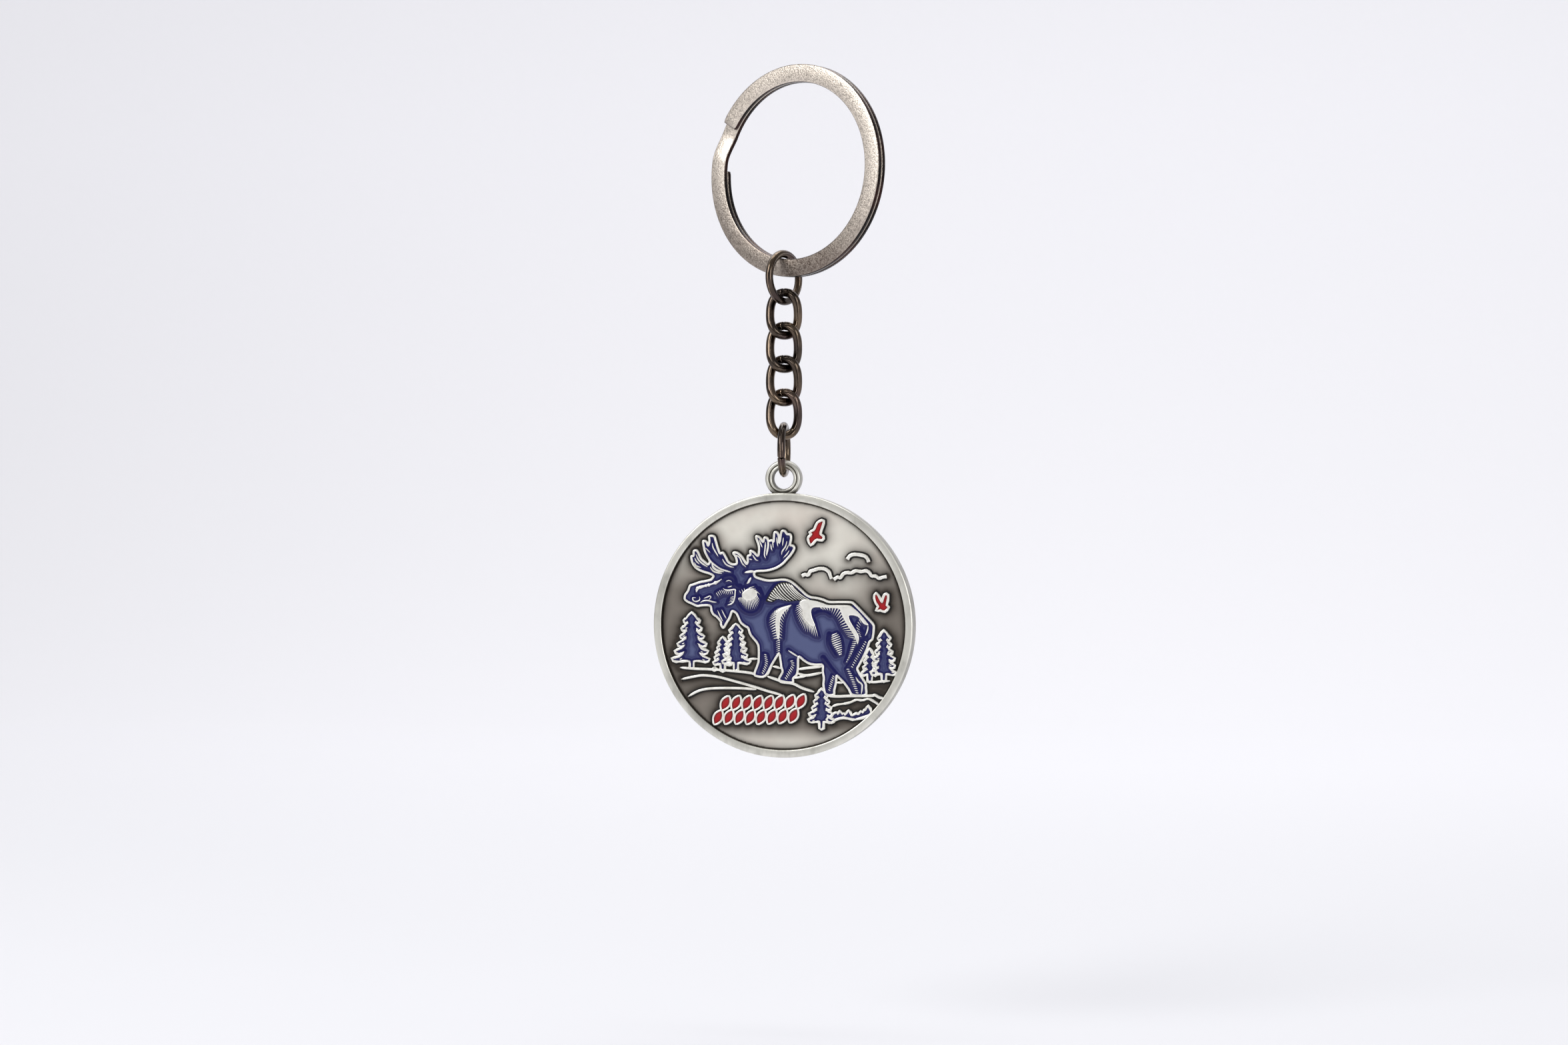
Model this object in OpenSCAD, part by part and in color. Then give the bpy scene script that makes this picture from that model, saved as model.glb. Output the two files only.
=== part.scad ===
// Keychain: a flat-wire split ring, two jump rings, four curb links and an enamelled medal.
// The part hangs from the split ring. The origin is the ring's centre, +Z is up and the
// medal's front faces -Y.

/* [Split ring] */
// Outer diameter of the split ring
ring_d = 30.5; // [28:0.5:34]
// Width of the ring's flat wire, seen on the face of the ring
ring_face = 2.6; // [2.2:0.1:2.8]
// Thickness of one turn of the flat wire
coil_t = 0.8; // [0.6:0.05:0.9]
// Turn of the ring about the vertical, against the medal
ring_turn = 26; // [0:1:35]
// Angle round the ring from its lowest point to the place where the chain hangs
hang_angle = 8.5; // [0:0.5:12]

/* [Jump rings] */
// Outer diameter of each jump ring
jump_d = 8; // [7.6:0.1:8.6]
// Diameter of the jump rings' wire
jump_wire = 1.15; // [1:0.05:1.2]
// Turn of the lower jump ring about the vertical, against the medal's axis
lower_jump_turn = 5; // [0:1:15]

/* [Curb links] */
// Outer width of a link
link_w = 5.3; // [5:0.1:5.6]
// Outer height of a link
link_h = 7.46; // [7.2:0.02:7.8]
// Diameter of the links' wire
link_wire = 1.3; // [1.1:0.05:1.3]
// Twist that brings the ends of a link out of its plane, in degrees
link_twist = 34; // [25:1:40]
// Turn of the chain about the vertical, against the medal
chain_turn = 10; // [0:1:20]

/* [Medal] */
// Diameter of the medal
medal_d = 38; // [34:0.5:42]
// Thickness of the medal at its rim
medal_t = 3; // [2.4:0.1:3.6]
// Width of the raised rim
rim_w = 1.15; // [0.8:0.05:1.6]
// Depth of the field below the rim
field_depth = 0.5; // [0.3:0.05:0.7]
// Diameter of the hole in the medal's loop
loop_hole = 3; // [2.8:0.1:3.2]
// Wall of the loop round its hole
loop_wall = 1.15; // [0.9:0.05:1.3]
// Thickness of the loop
loop_t = 2; // [1.6:0.1:2.2]
// Width of the raised metal lines
line_w = 0.32; // [0.25:0.01:0.4]
// Height of the enamel over the field
enamel_t = 0.3; // [0.15:0.05:0.35]

/* [Hidden] */
$fn = 64;

// Colours of the metals and the enamels
bronze = "#8b8378";
gunmetal = "#5f564e";
pewter = "#b9b3a8";
navy = "#1d2460";
crimson = "#a01020";

// Play left where one piece of wire rests on another
play = 0.06;
wire_sides = 8;
up_axis = [0, 1, 0];

// The split ring's wire: where it starts, how far it runs in front, and its step to the back
ring_r = (ring_d - ring_face) / 2;
coil_play = 0.06;
layer = (coil_t + coil_play) / 2;
wire_start = 148;
front_run = 337;
step_run = 18;
back_run = 337;
ring_step = 6;
flat_chamfer = 0.2;

// Radii of the wires' centrelines
jump_r = (jump_d - jump_wire) / 2;
link_a = (link_w - link_wire) / 2;
link_b = (link_h - link_wire) / 2;
link_power = 2.4;
link_steps = 36;
jump_steps = 36;
cut = 0.1;

// How the chain hangs: from the ring's lower edge down to the medal's loop
ring_inner = ring_d / 2 - ring_face;
jump_inner = jump_r - jump_wire / 2;
ring_half_t = layer + coil_t / 2;
jump_drop = ring_inner + sqrt(pow(jump_inner - play, 2) - pow(ring_half_t - flat_chamfer / 2, 2));
hang_x = -jump_drop * sin(hang_angle) * cos(ring_turn);
hang_y = jump_drop * sin(hang_angle) * sin(ring_turn);
top_jump_z = -jump_drop * cos(hang_angle);
first_link_z = top_jump_z - jump_r + (jump_wire + link_wire) / 2 + play - link_b;
link_pitch = 2 * link_b - link_wire - play;
lower_play = 0.16;
lower_jump_z = first_link_z - 3 * link_pitch - link_b + (link_wire + jump_wire) / 2 + lower_play - jump_r;
loop_play = 0.18;
loop_z = lower_jump_z - jump_inner + loop_play - loop_hole / 2;
loop_rise = medal_d / 2 + 2.06;
medal_z = loop_z - loop_rise;

// The medal's own frame has X to the right, Y up and Z towards the viewer
field_z = medal_t / 2 - field_depth;
back_depth = 0.4;
edge_chamfer = 0.25;
field_r = medal_d / 2 - rim_w;
loop_r = loop_hole / 2 + loop_wall;
loop_chamfer = 0.3;
root = 0.1;
line_top = 0.05;
enamel_play = 0.02;
cloud_w = 0.5;

// ---------------------------------------------------------------- curves and wires

function unit(v) = v / norm(v);
function signed_power(v, p) = sign(v) * pow(abs(v), p);
function smooth(v) = let (c = min(max(v, 0), 1)) c * c * (3 - 2 * c);

// Points of a curve that runs smoothly through the given ones
function curve(pts, steps = 3) = concat(
    [for (i = [0:len(pts) - 2]) for (j = [0:steps - 1])
        let (
            t = j / steps,
            p0 = pts[max(i - 1, 0)], p1 = pts[i],
            p2 = pts[i + 1], p3 = pts[min(i + 2, len(pts) - 1)])
        0.5 * (2 * p1 + (p2 - p0) * t + (2 * p0 - 5 * p1 + 4 * p2 - p3) * t * t
            + (3 * p1 - p0 - 3 * p2 + p3) * t * t * t)],
    [pts[len(pts) - 1]]);

function round_section(d) = [for (i = [0:wire_sides - 1])
    d / 2 * [cos(360 * i / wire_sides), sin(360 * i / wire_sides)]];

function flat_section(w, t, c) = [
    [w / 2, c - t / 2], [w / 2, t / 2 - c], [w / 2 - c, t / 2], [c - w / 2, t / 2],
    [-w / 2, t / 2 - c], [-w / 2, c - t / 2], [c - w / 2, -t / 2], [w / 2 - c, -t / 2]];

// A section swept along an open path; its second axis stays near up_axis
module wire(path, section) {
    n = len(path);
    m = len(section);
    points = [for (i = [0:n - 1])
        let (
            t = unit(path[min(i + 1, n - 1)] - path[max(i - 1, 0)]),
            side = unit(cross(up_axis, t)),
            up = cross(t, side))
        for (p = section) path[i] + p[0] * side + p[1] * up];
    walls = [for (i = [0:n - 2]) for (j = [0:m - 1])
        let (k = (j + 1) % m)
        [i * m + j, (i + 1) * m + j, (i + 1) * m + k, i * m + k]];
    start = [for (j = [0:m - 1]) j];
    end = [for (j = [m - 1:-1:0]) (n - 1) * m + j];
    polyhedron(points, concat(walls, [start, end]));
}

// A wire ring about the Y axis, cut open at the given angle from +X
module jump_ring(cut_angle) {
    half_cut = cut / jump_r * 90 / PI;
    run = 360 - 2 * half_cut;
    path = [for (i = [0:jump_steps])
        let (angle = cut_angle + half_cut + run * i / jump_steps)
        jump_r * [cos(angle), 0, sin(angle)]];
    wire(path, round_section(jump_wire));
}

// ---------------------------------------------------------------- split ring and chain

module split_ring() {
    run = front_run + step_run + back_run;
    steps = ceil(run / ring_step);
    path = [for (i = [0:steps])
        let (
            s = run * i / steps,
            angle = wire_start - s,
            y = layer * (2 * smooth((s - front_run) / step_run) - 1))
        [ring_r * cos(angle), y, ring_r * sin(angle)]];
    color(bronze)
        rotate([0, 0, -ring_turn])
            wire(path, flat_section(ring_face, coil_t, flat_chamfer));
}

module top_jump_ring() {
    color(gunmetal)
        translate([hang_x, hang_y, top_jump_z])
            rotate([0, 0, 90 - ring_turn])
                jump_ring(cut_angle = 20);
}

// One curb link, numbered from the top; its wire is cut at the top of the loop
module chain_link(i) {
    start = asin(pow(cut / 2 / link_a, link_power / 2));
    path = [for (k = [0:link_steps])
        let (
            t = start + (360 - 2 * start) * k / link_steps,
            x = link_a * signed_power(sin(t), 2 / link_power),
            z = link_b * signed_power(cos(t), 2 / link_power))
        [x, -tan(link_twist) * x * z / link_b, z]];
    color(gunmetal)
        translate([hang_x, hang_y, first_link_z - (i - 1) * link_pitch])
            rotate([0, 0, chain_turn])
                wire(path, round_section(link_wire));
}

module lower_jump_ring() {
    color(gunmetal)
        translate([hang_x, hang_y, lower_jump_z])
            rotate([0, 0, 90 + lower_jump_turn])
                jump_ring(cut_angle = 200);
}

// ---------------------------------------------------------------- artwork outlines

// The moose, from its nose over the antlers and the back, and home along the legs and chest
face_line = [[-14.4, 3.8], [-14.2, 4.5], [-13.6, 5.6], [-12.4, 6.1], [-10.7, 6.5], [-10, 7.1]];
left_antler = [
    [-12, 7.8], [-13.1, 8.4], [-13.4, 9.2], [-13.3, 10.1], [-12.8, 10.8], [-12.2, 10.2],
    [-11.6, 9.3], [-10.9, 8.9], [-10.9, 9.5], [-11.4, 10.6], [-11.6, 12], [-11.1, 11.8],
    [-10.8, 12.7], [-10.1, 12.8], [-9.7, 11.8], [-9.2, 10.3], [-8.7, 10.3], [-8.2, 9.4]];
brow_tines = [
    [-7.6, 8.8], [-6.8, 8.8], [-6.9, 9.7], [-7.3, 10.4], [-6.7, 10.3], [-6, 9.4], [-5.4, 8.8],
    [-5.1, 9.2], [-5.1, 10.1], [-4.7, 10.7], [-4.1, 10.3], [-3.6, 10]];
right_antler = [
    [-3.5, 11.3], [-3.9, 12.8], [-3.1, 12.5], [-2.8, 12.1], [-2.5, 12.6], [-2.1, 12.1],
    [-1.5, 12.2], [-1.2, 13.4], [-0.7, 13.2], [-0.4, 12.2], [-0.1, 13.5], [0.5, 13.4],
    [1.2, 13], [1.2, 11.6], [1.7, 11.2], [1.4, 10.2], [0.7, 9.2], [-0.5, 8.3], [-2, 7.9],
    [-4, 7.7]];
back_line = [
    [-4, 6.9], [-2.2, 6.4], [0.2, 6.6], [1.6, 6.1], [3.6, 4.3], [5.2, 4], [6.8, 3.4], [9.8, 3.4],
    [11, 2.4], [13.1, 0.3], [13.3, -1.6], [12.7, -2.4], [11.2, -5.2], [11, -6.2], [12.1, -8.1],
    [12.1, -9.9]];
hind_legs = [
    [10.3, -9.9], [9, -8.2], [8, -7.2], [7.8, -8.4], [7.5, -9.9], [6.4, -9.8], [6.1, -8.6],
    [6.1, -7.5], [5.9, -5.6]];
belly_line = [[5, -5.6], [3.8, -5.3], [2.4, -4.5]];
fore_legs = [
    [2.3, -6.7], [1.6, -7.6], [1.5, -8.2], [-0.4, -7.8], [0.1, -6.7], [-0.1, -5.3], [-0.5, -4.1],
    [-1.5, -5.7], [-2.3, -7.3], [-4, -7.2], [-3.5, -5.6], [-3.4, -3.2]];
chest_line = [[-4.5, -1.6], [-5, -0.4], [-5.9, 0.1], [-6.7, 1.6], [-7.4, 2]];
bell_line = [[-8, 0.6], [-8.6, -0.4], [-9, 0.1], [-9.1, 0.9], [-10.3, 1.7], [-10.6, 2.9]];
jaw_line = [[-12.4, 2.7], [-13.6, 3.1]];

module moose_2d() {
    polygon(concat(
        curve(face_line, 2), left_antler, curve(brow_tines, 2), right_antler,
        curve(back_line, 2), hind_legs, belly_line, fore_legs, curve(chest_line, 2),
        curve(bell_line, 2), jaw_line));
}

// A spruce standing on its trunk at (x, y), with ragged tiers of boughs
module tree_2d(x, y, half_w, h, tiers) {
    trunk_w = 0.35;
    trunk_h = 1;
    droop = 0.18 * h / tiers;
    side = [for (i = [1:tiers])
        let (w = half_w * i / tiers, level = h * (1 - i / tiers))
        each [[w, level], [0.55 * w, level + droop]]];
    bough_side = concat([[0, h]], side);
    right = concat(bough_side, [[trunk_w / 2, droop], [trunk_w / 2, -trunk_h]]);
    left = [for (i = [len(right) - 1:-1:1]) [-right[i][0], right[i][1]]];
    translate([x, y])
        polygon(concat(right, left));
}

module left_tree_2d() {
    tree_2d(-13.35, -5.2, 2.7, 6.6, 5);
}

module middle_trees_2d() {
    tree_2d(-6.8, -5.4, 2, 5.3, 5);
    tree_2d(-8.6, -5.6, 1.4, 3.6, 4);
}

module right_trees_2d() {
    tree_2d(14.8, -6.8, 1.8, 5.7, 5);
    tree_2d(12.9, -6.9, 1, 3.4, 4);
}

module front_trees_2d() {
    tree_2d(5.75, -13.7, 1.9, 4.4, 4);
    polygon([
        [6.4, -13.8], [7.2, -13], [7.9, -12.5], [8.4, -12.3], [9, -12.7], [9.7, -12.2],
        [10.3, -12.9], [11.2, -12.7], [12, -12.2], [12.5, -11.5], [12.8, -12.4], [11, -13.1],
        [10.3, -13.2], [9, -12.9], [7.8, -13.2], [7.7, -13.7]]);
}

module upper_bird_2d() {
    polygon([
        [5.9, 14.9], [5.2, 14.6], [4.7, 13.6], [4.1, 13.3], [4.4, 13], [3.9, 12.5], [4.2, 11.6],
        [5.1, 12.4], [5.8, 12.3], [5.9, 12.7], [5.5, 13], [5.7, 14]]);
}

module lower_bird_2d() {
    polygon([
        [13.7, 4.5], [13.5, 4], [14.1, 2.7], [13.7, 2.2], [14.9, 2.2], [15.4, 2.7], [15.1, 2.9],
        [15.3, 4.4], [15, 4.4], [14.5, 3.2]]);
}

// A sprig of slender leaves in pairs, which all lean the same way along a low stem
sprig_stem = [[-8.9, -12.3], [-6.2, -12.2], [-3.4, -12.2], [-0.6, -12.1], [2.2, -11.9]];
pair_count = 8;
leaf_l = 2.1;
leaf_half_w = 0.55;
leaf_lean = 62;
leaf_gap = 0.12;
leaf_steps = 6;

module leaf_2d() {
    half = [for (i = [0:leaf_steps])
        [leaf_l * i / leaf_steps, leaf_half_w * pow(sin(180 * i / leaf_steps), 0.8)]];
    polygon(concat(half, [for (i = [leaf_steps - 1:-1:1]) [half[i][0], -half[i][1]]]));
}

module leaf_sprig_2d() {
    stem_steps = 4;
    stem = curve(sprig_stem, stem_steps);
    for (i = [0:pair_count - 1]) {
        foot = stem[round(i * (len(stem) - 1) / (pair_count - 1))];
        for (lean = [leaf_lean, leaf_lean + 180])
            translate(foot)
                rotate(lean)
                    translate([leaf_gap, 0])
                        leaf_2d();
    }
}

// A raised line of even width along an open path
module line_2d(pts, w = line_w) {
    path = curve(pts, 3);
    n = len(path);
    normals = [for (i = [0:n - 1])
        let (d = unit(path[min(i + 1, n - 1)] - path[max(i - 1, 0)]))
        w / 2 * [-d[1], d[0]]];
    polygon(concat(
        [for (i = [0:n - 1]) path[i] + normals[i]],
        [for (i = [n - 1:-1:0]) path[i] - normals[i]]));
}

cloud_lines = [
    [[9.5, 9.5], [9.9, 10], [10.6, 10.2], [11.9, 10], [12.5, 9.2]],
    [[2.9, 7.1], [3.8, 7.3], [4.3, 7.8], [6.1, 8.1], [6.9, 7.6], [7.1, 6.7]],
    [[7.6, 6.6], [8.4, 6.9], [9, 7.4], [11.2, 7.8], [12.4, 7.8], [13.2, 7.2], [14, 6.8], [15.2, 7.1]]];
ground_lines = [
    [[-15.1, -6.2], [-11, -6.4], [-7, -6.6], [-4.1, -7.1], [-0.4, -8], [1.6, -8.3], [4.6, -9.5]],
    [[-14.9, -7.9], [-11.5, -7.3], [-7, -8.1], [-3.6, -9], [0, -10]],
    [[-13.8, -10.3], [-12.2, -9.5], [-10, -9.2], [-6, -9.1], [-3.6, -9.2]],
    [[6.2, -9.9], [8, -10.1], [10, -10], [13.2, -10], [15, -10.4]],
    [[2.4, -6.1], [4.2, -6.1], [5.9, -5.8]],
    [[12.3, -7.9], [14, -7.9], [15.2, -7.8]]];

module moose_lines_2d() {
    difference() {
        moose_2d();
        offset(delta = -line_w)
            moose_2d();
    }
}

// A rim of raised metal round the pools that the children draw
module bank_2d() {
    difference() {
        offset(delta = line_w, chamfer = true)
            children();
        children();
    }
}

// All raised metal on the field, as one outline
module raised_lines_2d() {
    intersection() {
        circle(field_r);
        offset(delta = 0.01)
            union() {
                moose_lines_2d();
                for (line = ground_lines)
                    line_2d(line);
                for (line = cloud_lines)
                    line_2d(line, cloud_w);
                bank_2d() left_tree_2d();
                bank_2d() middle_trees_2d();
                bank_2d() right_trees_2d();
                bank_2d() front_trees_2d();
                bank_2d() upper_bird_2d();
                bank_2d() lower_bird_2d();
                bank_2d() leaf_sprig_2d();
            }
    }
}

// ---------------------------------------------------------------- medal

module place_medal() {
    translate([hang_x, hang_y, medal_z])
        rotate([90, 0, 0])
            children();
}

module disc() {
    half = medal_t / 2;
    translate([0, 0, edge_chamfer - half])
        cylinder(d = medal_d, h = medal_t - 2 * edge_chamfer);
    translate([0, 0, half - edge_chamfer])
        cylinder(d1 = medal_d, d2 = medal_d - 2 * edge_chamfer, h = edge_chamfer);
    translate([0, 0, -half])
        cylinder(d1 = medal_d - 2 * edge_chamfer, d2 = medal_d, h = edge_chamfer);
}

module loop() {
    inner = loop_hole / 2;
    half = loop_t / 2;
    c = loop_chamfer;
    translate([0, loop_rise, 0])
        rotate_extrude()
            polygon([
                [inner, c - half], [inner + c, -half], [loop_r - c, -half], [loop_r, c - half],
                [loop_r, half - c], [loop_r - c, half], [inner + c, half], [inner, half - c]]);
}

module medal_body() {
    color(pewter)
        place_medal() {
            difference() {
                disc();
                translate([0, 0, field_z])
                    cylinder(r = field_r, h = medal_t);
                translate([0, 0, back_depth - medal_t / 2 - medal_t])
                    cylinder(r = field_r, h = medal_t);
            }
            loop();
            translate([0, 0, field_z - root])
                linear_extrude(field_depth + root - line_top)
                    raised_lines_2d();
        }
}

// An enamel pool that fills what the children draw, between the raised lines
module pool(shade) {
    color(shade)
        place_medal()
            translate([0, 0, field_z])
                linear_extrude(enamel_t)
                    offset(delta = -enamel_play)
                        difference() {
                            children();
                            raised_lines_2d();
                        }
}

module moose_enamel() { pool(navy) moose_2d(); }
module left_tree_enamel() { pool(navy) left_tree_2d(); }
module middle_trees_enamel() { pool(navy) middle_trees_2d(); }
module right_trees_enamel() { pool(navy) right_trees_2d(); }
module front_trees_enamel() { pool(navy) front_trees_2d(); }
module upper_bird_enamel() { pool(crimson) upper_bird_2d(); }
module lower_bird_enamel() { pool(crimson) lower_bird_2d(); }
module leaf_sprig_enamel() { pool(crimson) leaf_sprig_2d(); }

split_ring();
top_jump_ring();
chain_link(1);  // chain_link_1
chain_link(2);  // chain_link_2
chain_link(3);  // chain_link_3
chain_link(4);  // chain_link_4
lower_jump_ring();
medal_body();
moose_enamel();
left_tree_enamel();
middle_trees_enamel();
right_trees_enamel();
front_trees_enamel();
upper_bird_enamel();
lower_bird_enamel();
leaf_sprig_enamel();
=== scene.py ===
"""The looks of a keychain: a split ring, two jump rings, four curb links and an enamelled medal.

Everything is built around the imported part, which is loaded first as a fixed frame. Sizes in the
classes are millimetres; a finished mesh is in metres. The medal's artwork is drawn in the medal's
own frame: X to the right, Y up and Z towards the viewer, with Z = 0 at the floor of the field.
"""

import logging
import math
import random
from dataclasses import dataclass, field
from enum import Enum
from typing import ClassVar, Iterable, Sequence

import bpy
import numpy as np
from mathutils import Matrix, Vector
from mathutils.geometry import delaunay_2d_cdt
from mathutils.kdtree import KDTree


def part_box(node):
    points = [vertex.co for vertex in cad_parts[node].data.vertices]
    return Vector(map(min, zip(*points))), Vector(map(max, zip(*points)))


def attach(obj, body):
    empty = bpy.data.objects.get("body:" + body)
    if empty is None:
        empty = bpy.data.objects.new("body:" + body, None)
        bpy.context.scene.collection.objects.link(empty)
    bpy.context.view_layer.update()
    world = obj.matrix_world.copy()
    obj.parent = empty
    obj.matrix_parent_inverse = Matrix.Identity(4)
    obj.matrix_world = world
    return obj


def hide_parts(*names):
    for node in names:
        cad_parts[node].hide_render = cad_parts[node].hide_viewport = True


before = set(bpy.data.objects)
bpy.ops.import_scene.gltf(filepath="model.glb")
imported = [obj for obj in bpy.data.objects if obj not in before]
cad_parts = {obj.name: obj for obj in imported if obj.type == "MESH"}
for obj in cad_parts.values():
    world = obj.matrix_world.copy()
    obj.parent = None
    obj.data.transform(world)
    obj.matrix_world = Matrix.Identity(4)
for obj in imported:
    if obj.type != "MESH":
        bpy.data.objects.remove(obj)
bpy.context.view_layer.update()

LOG = logging.getLogger("keychain")
MM = 0.001
Point = tuple[float, float]


# ---------------------------------------------------------------- shader building


class Signal:
    """A socket of a shader tree, which takes part in Python arithmetic."""

    def __init__(self, sheet: "Sheet", socket: bpy.types.NodeSocket) -> None:
        """Wraps a socket.

        Args:
            sheet: The node sheet that holds the socket.
            socket: The output socket.
        """
        self.sheet = sheet
        self.socket = socket

    def _math(self, operation: str, *values: "Signal | float", clamp: bool = False) -> "Signal":
        """Adds one Math node.

        Args:
            operation: The Math node's operation.
            values: Its inputs, in order.
            clamp: Whether the result is held between 0 and 1.

        Returns:
            The node's result.
        """
        settings = {"operation": operation, "use_clamp": clamp}
        return self.sheet.node("ShaderNodeMath", settings, dict(enumerate(values)))

    def __add__(self, other: "Signal | float") -> "Signal":
        """Sum."""
        return self._math("ADD", self, other)

    def __radd__(self, other: float) -> "Signal":
        """Sum, the other way round."""
        return self._math("ADD", other, self)

    def __sub__(self, other: "Signal | float") -> "Signal":
        """Difference."""
        return self._math("SUBTRACT", self, other)

    def __rsub__(self, other: float) -> "Signal":
        """Difference, the other way round."""
        return self._math("SUBTRACT", other, self)

    def __mul__(self, other: "Signal | float") -> "Signal":
        """Product."""
        return self._math("MULTIPLY", self, other)

    def __rmul__(self, other: float) -> "Signal":
        """Product, the other way round."""
        return self._math("MULTIPLY", other, self)

    def held(self) -> "Signal":
        """The value held between 0 and 1."""
        return self._math("ADD", self, 0.0, clamp=True)

    def step(self, low: float, high: float) -> "Signal":
        """A smooth step.

        Args:
            low: The value that gives 0.
            high: The value that gives 1.

        Returns:
            0 below low, 1 above high, and a smooth rise between.
        """
        settings = {"interpolation_type": "SMOOTHSTEP"}
        return self.sheet.node("ShaderNodeMapRange", settings, {0: self, 1: low, 2: high})


class Sheet:
    """The node sheet of one material."""

    def __init__(self, name: str) -> None:
        """Starts an empty material.

        Args:
            name: The material's name.
        """
        self.material = bpy.data.materials.new(name)
        self.material.use_nodes = True
        self.tree = self.material.node_tree
        self.tree.nodes.clear()
        self._output = self.tree.nodes.new("ShaderNodeOutputMaterial")

    def node(
        self,
        kind: str,
        settings: dict[str, object] | None = None,
        values: dict[int | str, object] | None = None,
        output: int | str = 0,
    ) -> Signal:
        """Adds any node.

        Args:
            kind: The node's type.
            settings: The node's own settings, set first.
            values: Values or Signals for its inputs.
            output: The output that is returned.

        Returns:
            The chosen output.
        """
        made = self.tree.nodes.new(kind)
        for key, value in (settings or {}).items():
            setattr(made, key, value)
        for key, value in (values or {}).items():
            if isinstance(value, Signal):
                self.tree.links.new(value.socket, made.inputs[key])
            else:
                made.inputs[key].default_value = value
        return Signal(self, made.outputs[output])

    def place(self) -> Signal:
        """Object coordinates in metres."""
        return self.node("ShaderNodeTexCoord", output="Object")

    def axis(self, letter: str) -> Signal:
        """One of the object's own coordinates, in metres."""
        return self.node("ShaderNodeSeparateXYZ", {}, {"Vector": self.place()}, letter)

    def noise(self, scale: float, detail: float = 3.0, stretch: Sequence[float] = (1, 1, 1)) -> Signal:
        """Noise on the object coordinates.

        Args:
            scale: Waves per metre.
            detail: Octaves.
            stretch: How much finer the noise is along X, Y and Z.

        Returns:
            The noise, from 0 to 1.
        """
        where = self.node("ShaderNodeMapping", {}, {"Vector": self.place(), "Scale": stretch})
        return self.node("ShaderNodeTexNoise", {}, {"Vector": where, "Scale": scale, "Detail": detail})

    def attribute(self, name: str) -> Signal:
        """A number stored on the mesh's points."""
        return self.node("ShaderNodeAttribute", {"attribute_name": name}, output="Fac")

    def mix(
        self, share: Signal | float, low: Sequence[float] | Signal, high: Sequence[float] | Signal
    ) -> Signal:
        """A mix of two colours.

        Args:
            share: 0 gives low and 1 gives high.
            low: The first colour.
            high: The second colour.

        Returns:
            The mixed colour.
        """
        return self.node("ShaderNodeMix", {"data_type": "RGBA"}, {0: share, 6: low, 7: high}, output=2)

    def bump(self, height: Signal, distance: float, strength: float = 1.0) -> Signal:
        """A normal bumped by a height.

        Args:
            height: The height, from 0 to 1.
            distance: What a height of 1 stands for, in metres.
            strength: The bump's strength.

        Returns:
            The normal.
        """
        values = {"Height": height, "Distance": distance, "Strength": strength}
        return self.node("ShaderNodeBump", {}, values)

    def finish(self, **values: object) -> bpy.types.Material:
        """Adds the surface shader and closes the material.

        Args:
            values: The shader's inputs, with underscores for blanks.

        Returns:
            The material.
        """
        inputs = {key.replace("_", " "): value for key, value in values.items()}
        surface = self.node("ShaderNodeBsdfPrincipled", {}, inputs)
        self.tree.links.new(surface.socket, self._output.inputs["Surface"])
        return self.material


def rgb(red: int, green: int, blue: int) -> tuple[float, float, float, float]:
    """A linear colour from its 8-bit sRGB values.

    Args:
        red: The red, from 0 to 255.
        green: The green, from 0 to 255.
        blue: The blue, from 0 to 255.

    Returns:
        The colour, with full alpha.
    """
    shares = (value / 255 for value in (red, green, blue))
    linear = (s / 12.92 if s <= 0.04045 else ((s + 0.055) / 1.055) ** 2.4 for s in shares)
    return (*linear, 1.0)


# ---------------------------------------------------------------- finishes


@dataclass(frozen=True)
class AntiqueNickel:
    """Plating on the split ring: mottled and scratched with wear on its faces, which carry painted light
    that brightens them towards the top; its walls are painted near-black and brown as painted shade, and
    stay glossy.
    """

    bright: tuple = rgb(255, 243, 229)
    worn_and_shaded: tuple = rgb(116, 102, 93)
    shaded_wall: tuple = rgb(20, 16, 14)
    tint: tuple = rgb(52, 30, 26)
    grain: float = 2400
    cloud: float = 80
    scratches: float = 5200
    tint_cloud: float = 160
    shade_below: float = -0.0135
    lit_above: float = 0.002

    def material(self) -> bpy.types.Material:
        """Builds the material, which reads the attribute face (1 on the ring's flat faces).

        Returns:
            The material.
        """
        sheet = Sheet("antique_nickel")
        face = sheet.attribute("face")
        mottle = sheet.noise(self.grain, 6).step(0.34, 0.66)
        broad = sheet.noise(self.cloud, 2).step(0.36, 0.64)
        scratch = sheet.noise(self.scratches, 4).step(0.38, 0.62)
        # painted light: the faces are brighter towards the top and right of the ring, and darker below
        height = sheet.axis("Z") + sheet.axis("X") * 0.25
        upper = height.step(self.shade_below, self.lit_above)
        shares = 0.15 * mottle + 0.17 * broad + 0.12 * scratch + 0.64 * upper
        flat = sheet.mix(shares.held(), self.worn_and_shaded, self.bright)
        # painted shade: the walls are painted near-black, with a brown tint that varies at random
        walls = sheet.mix(sheet.noise(self.tint_cloud, 2).step(0.4, 0.65), self.shaded_wall, self.tint)
        return sheet.finish(
            Base_Color=sheet.mix(face, walls, flat),
            Metallic=1.0,
            Roughness=0.16 + face * (0.12 + 0.16 * scratch),
            Normal=sheet.bump(mottle * 0.5 + scratch * 0.5, 0.00003, 0.6),
        )


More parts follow.
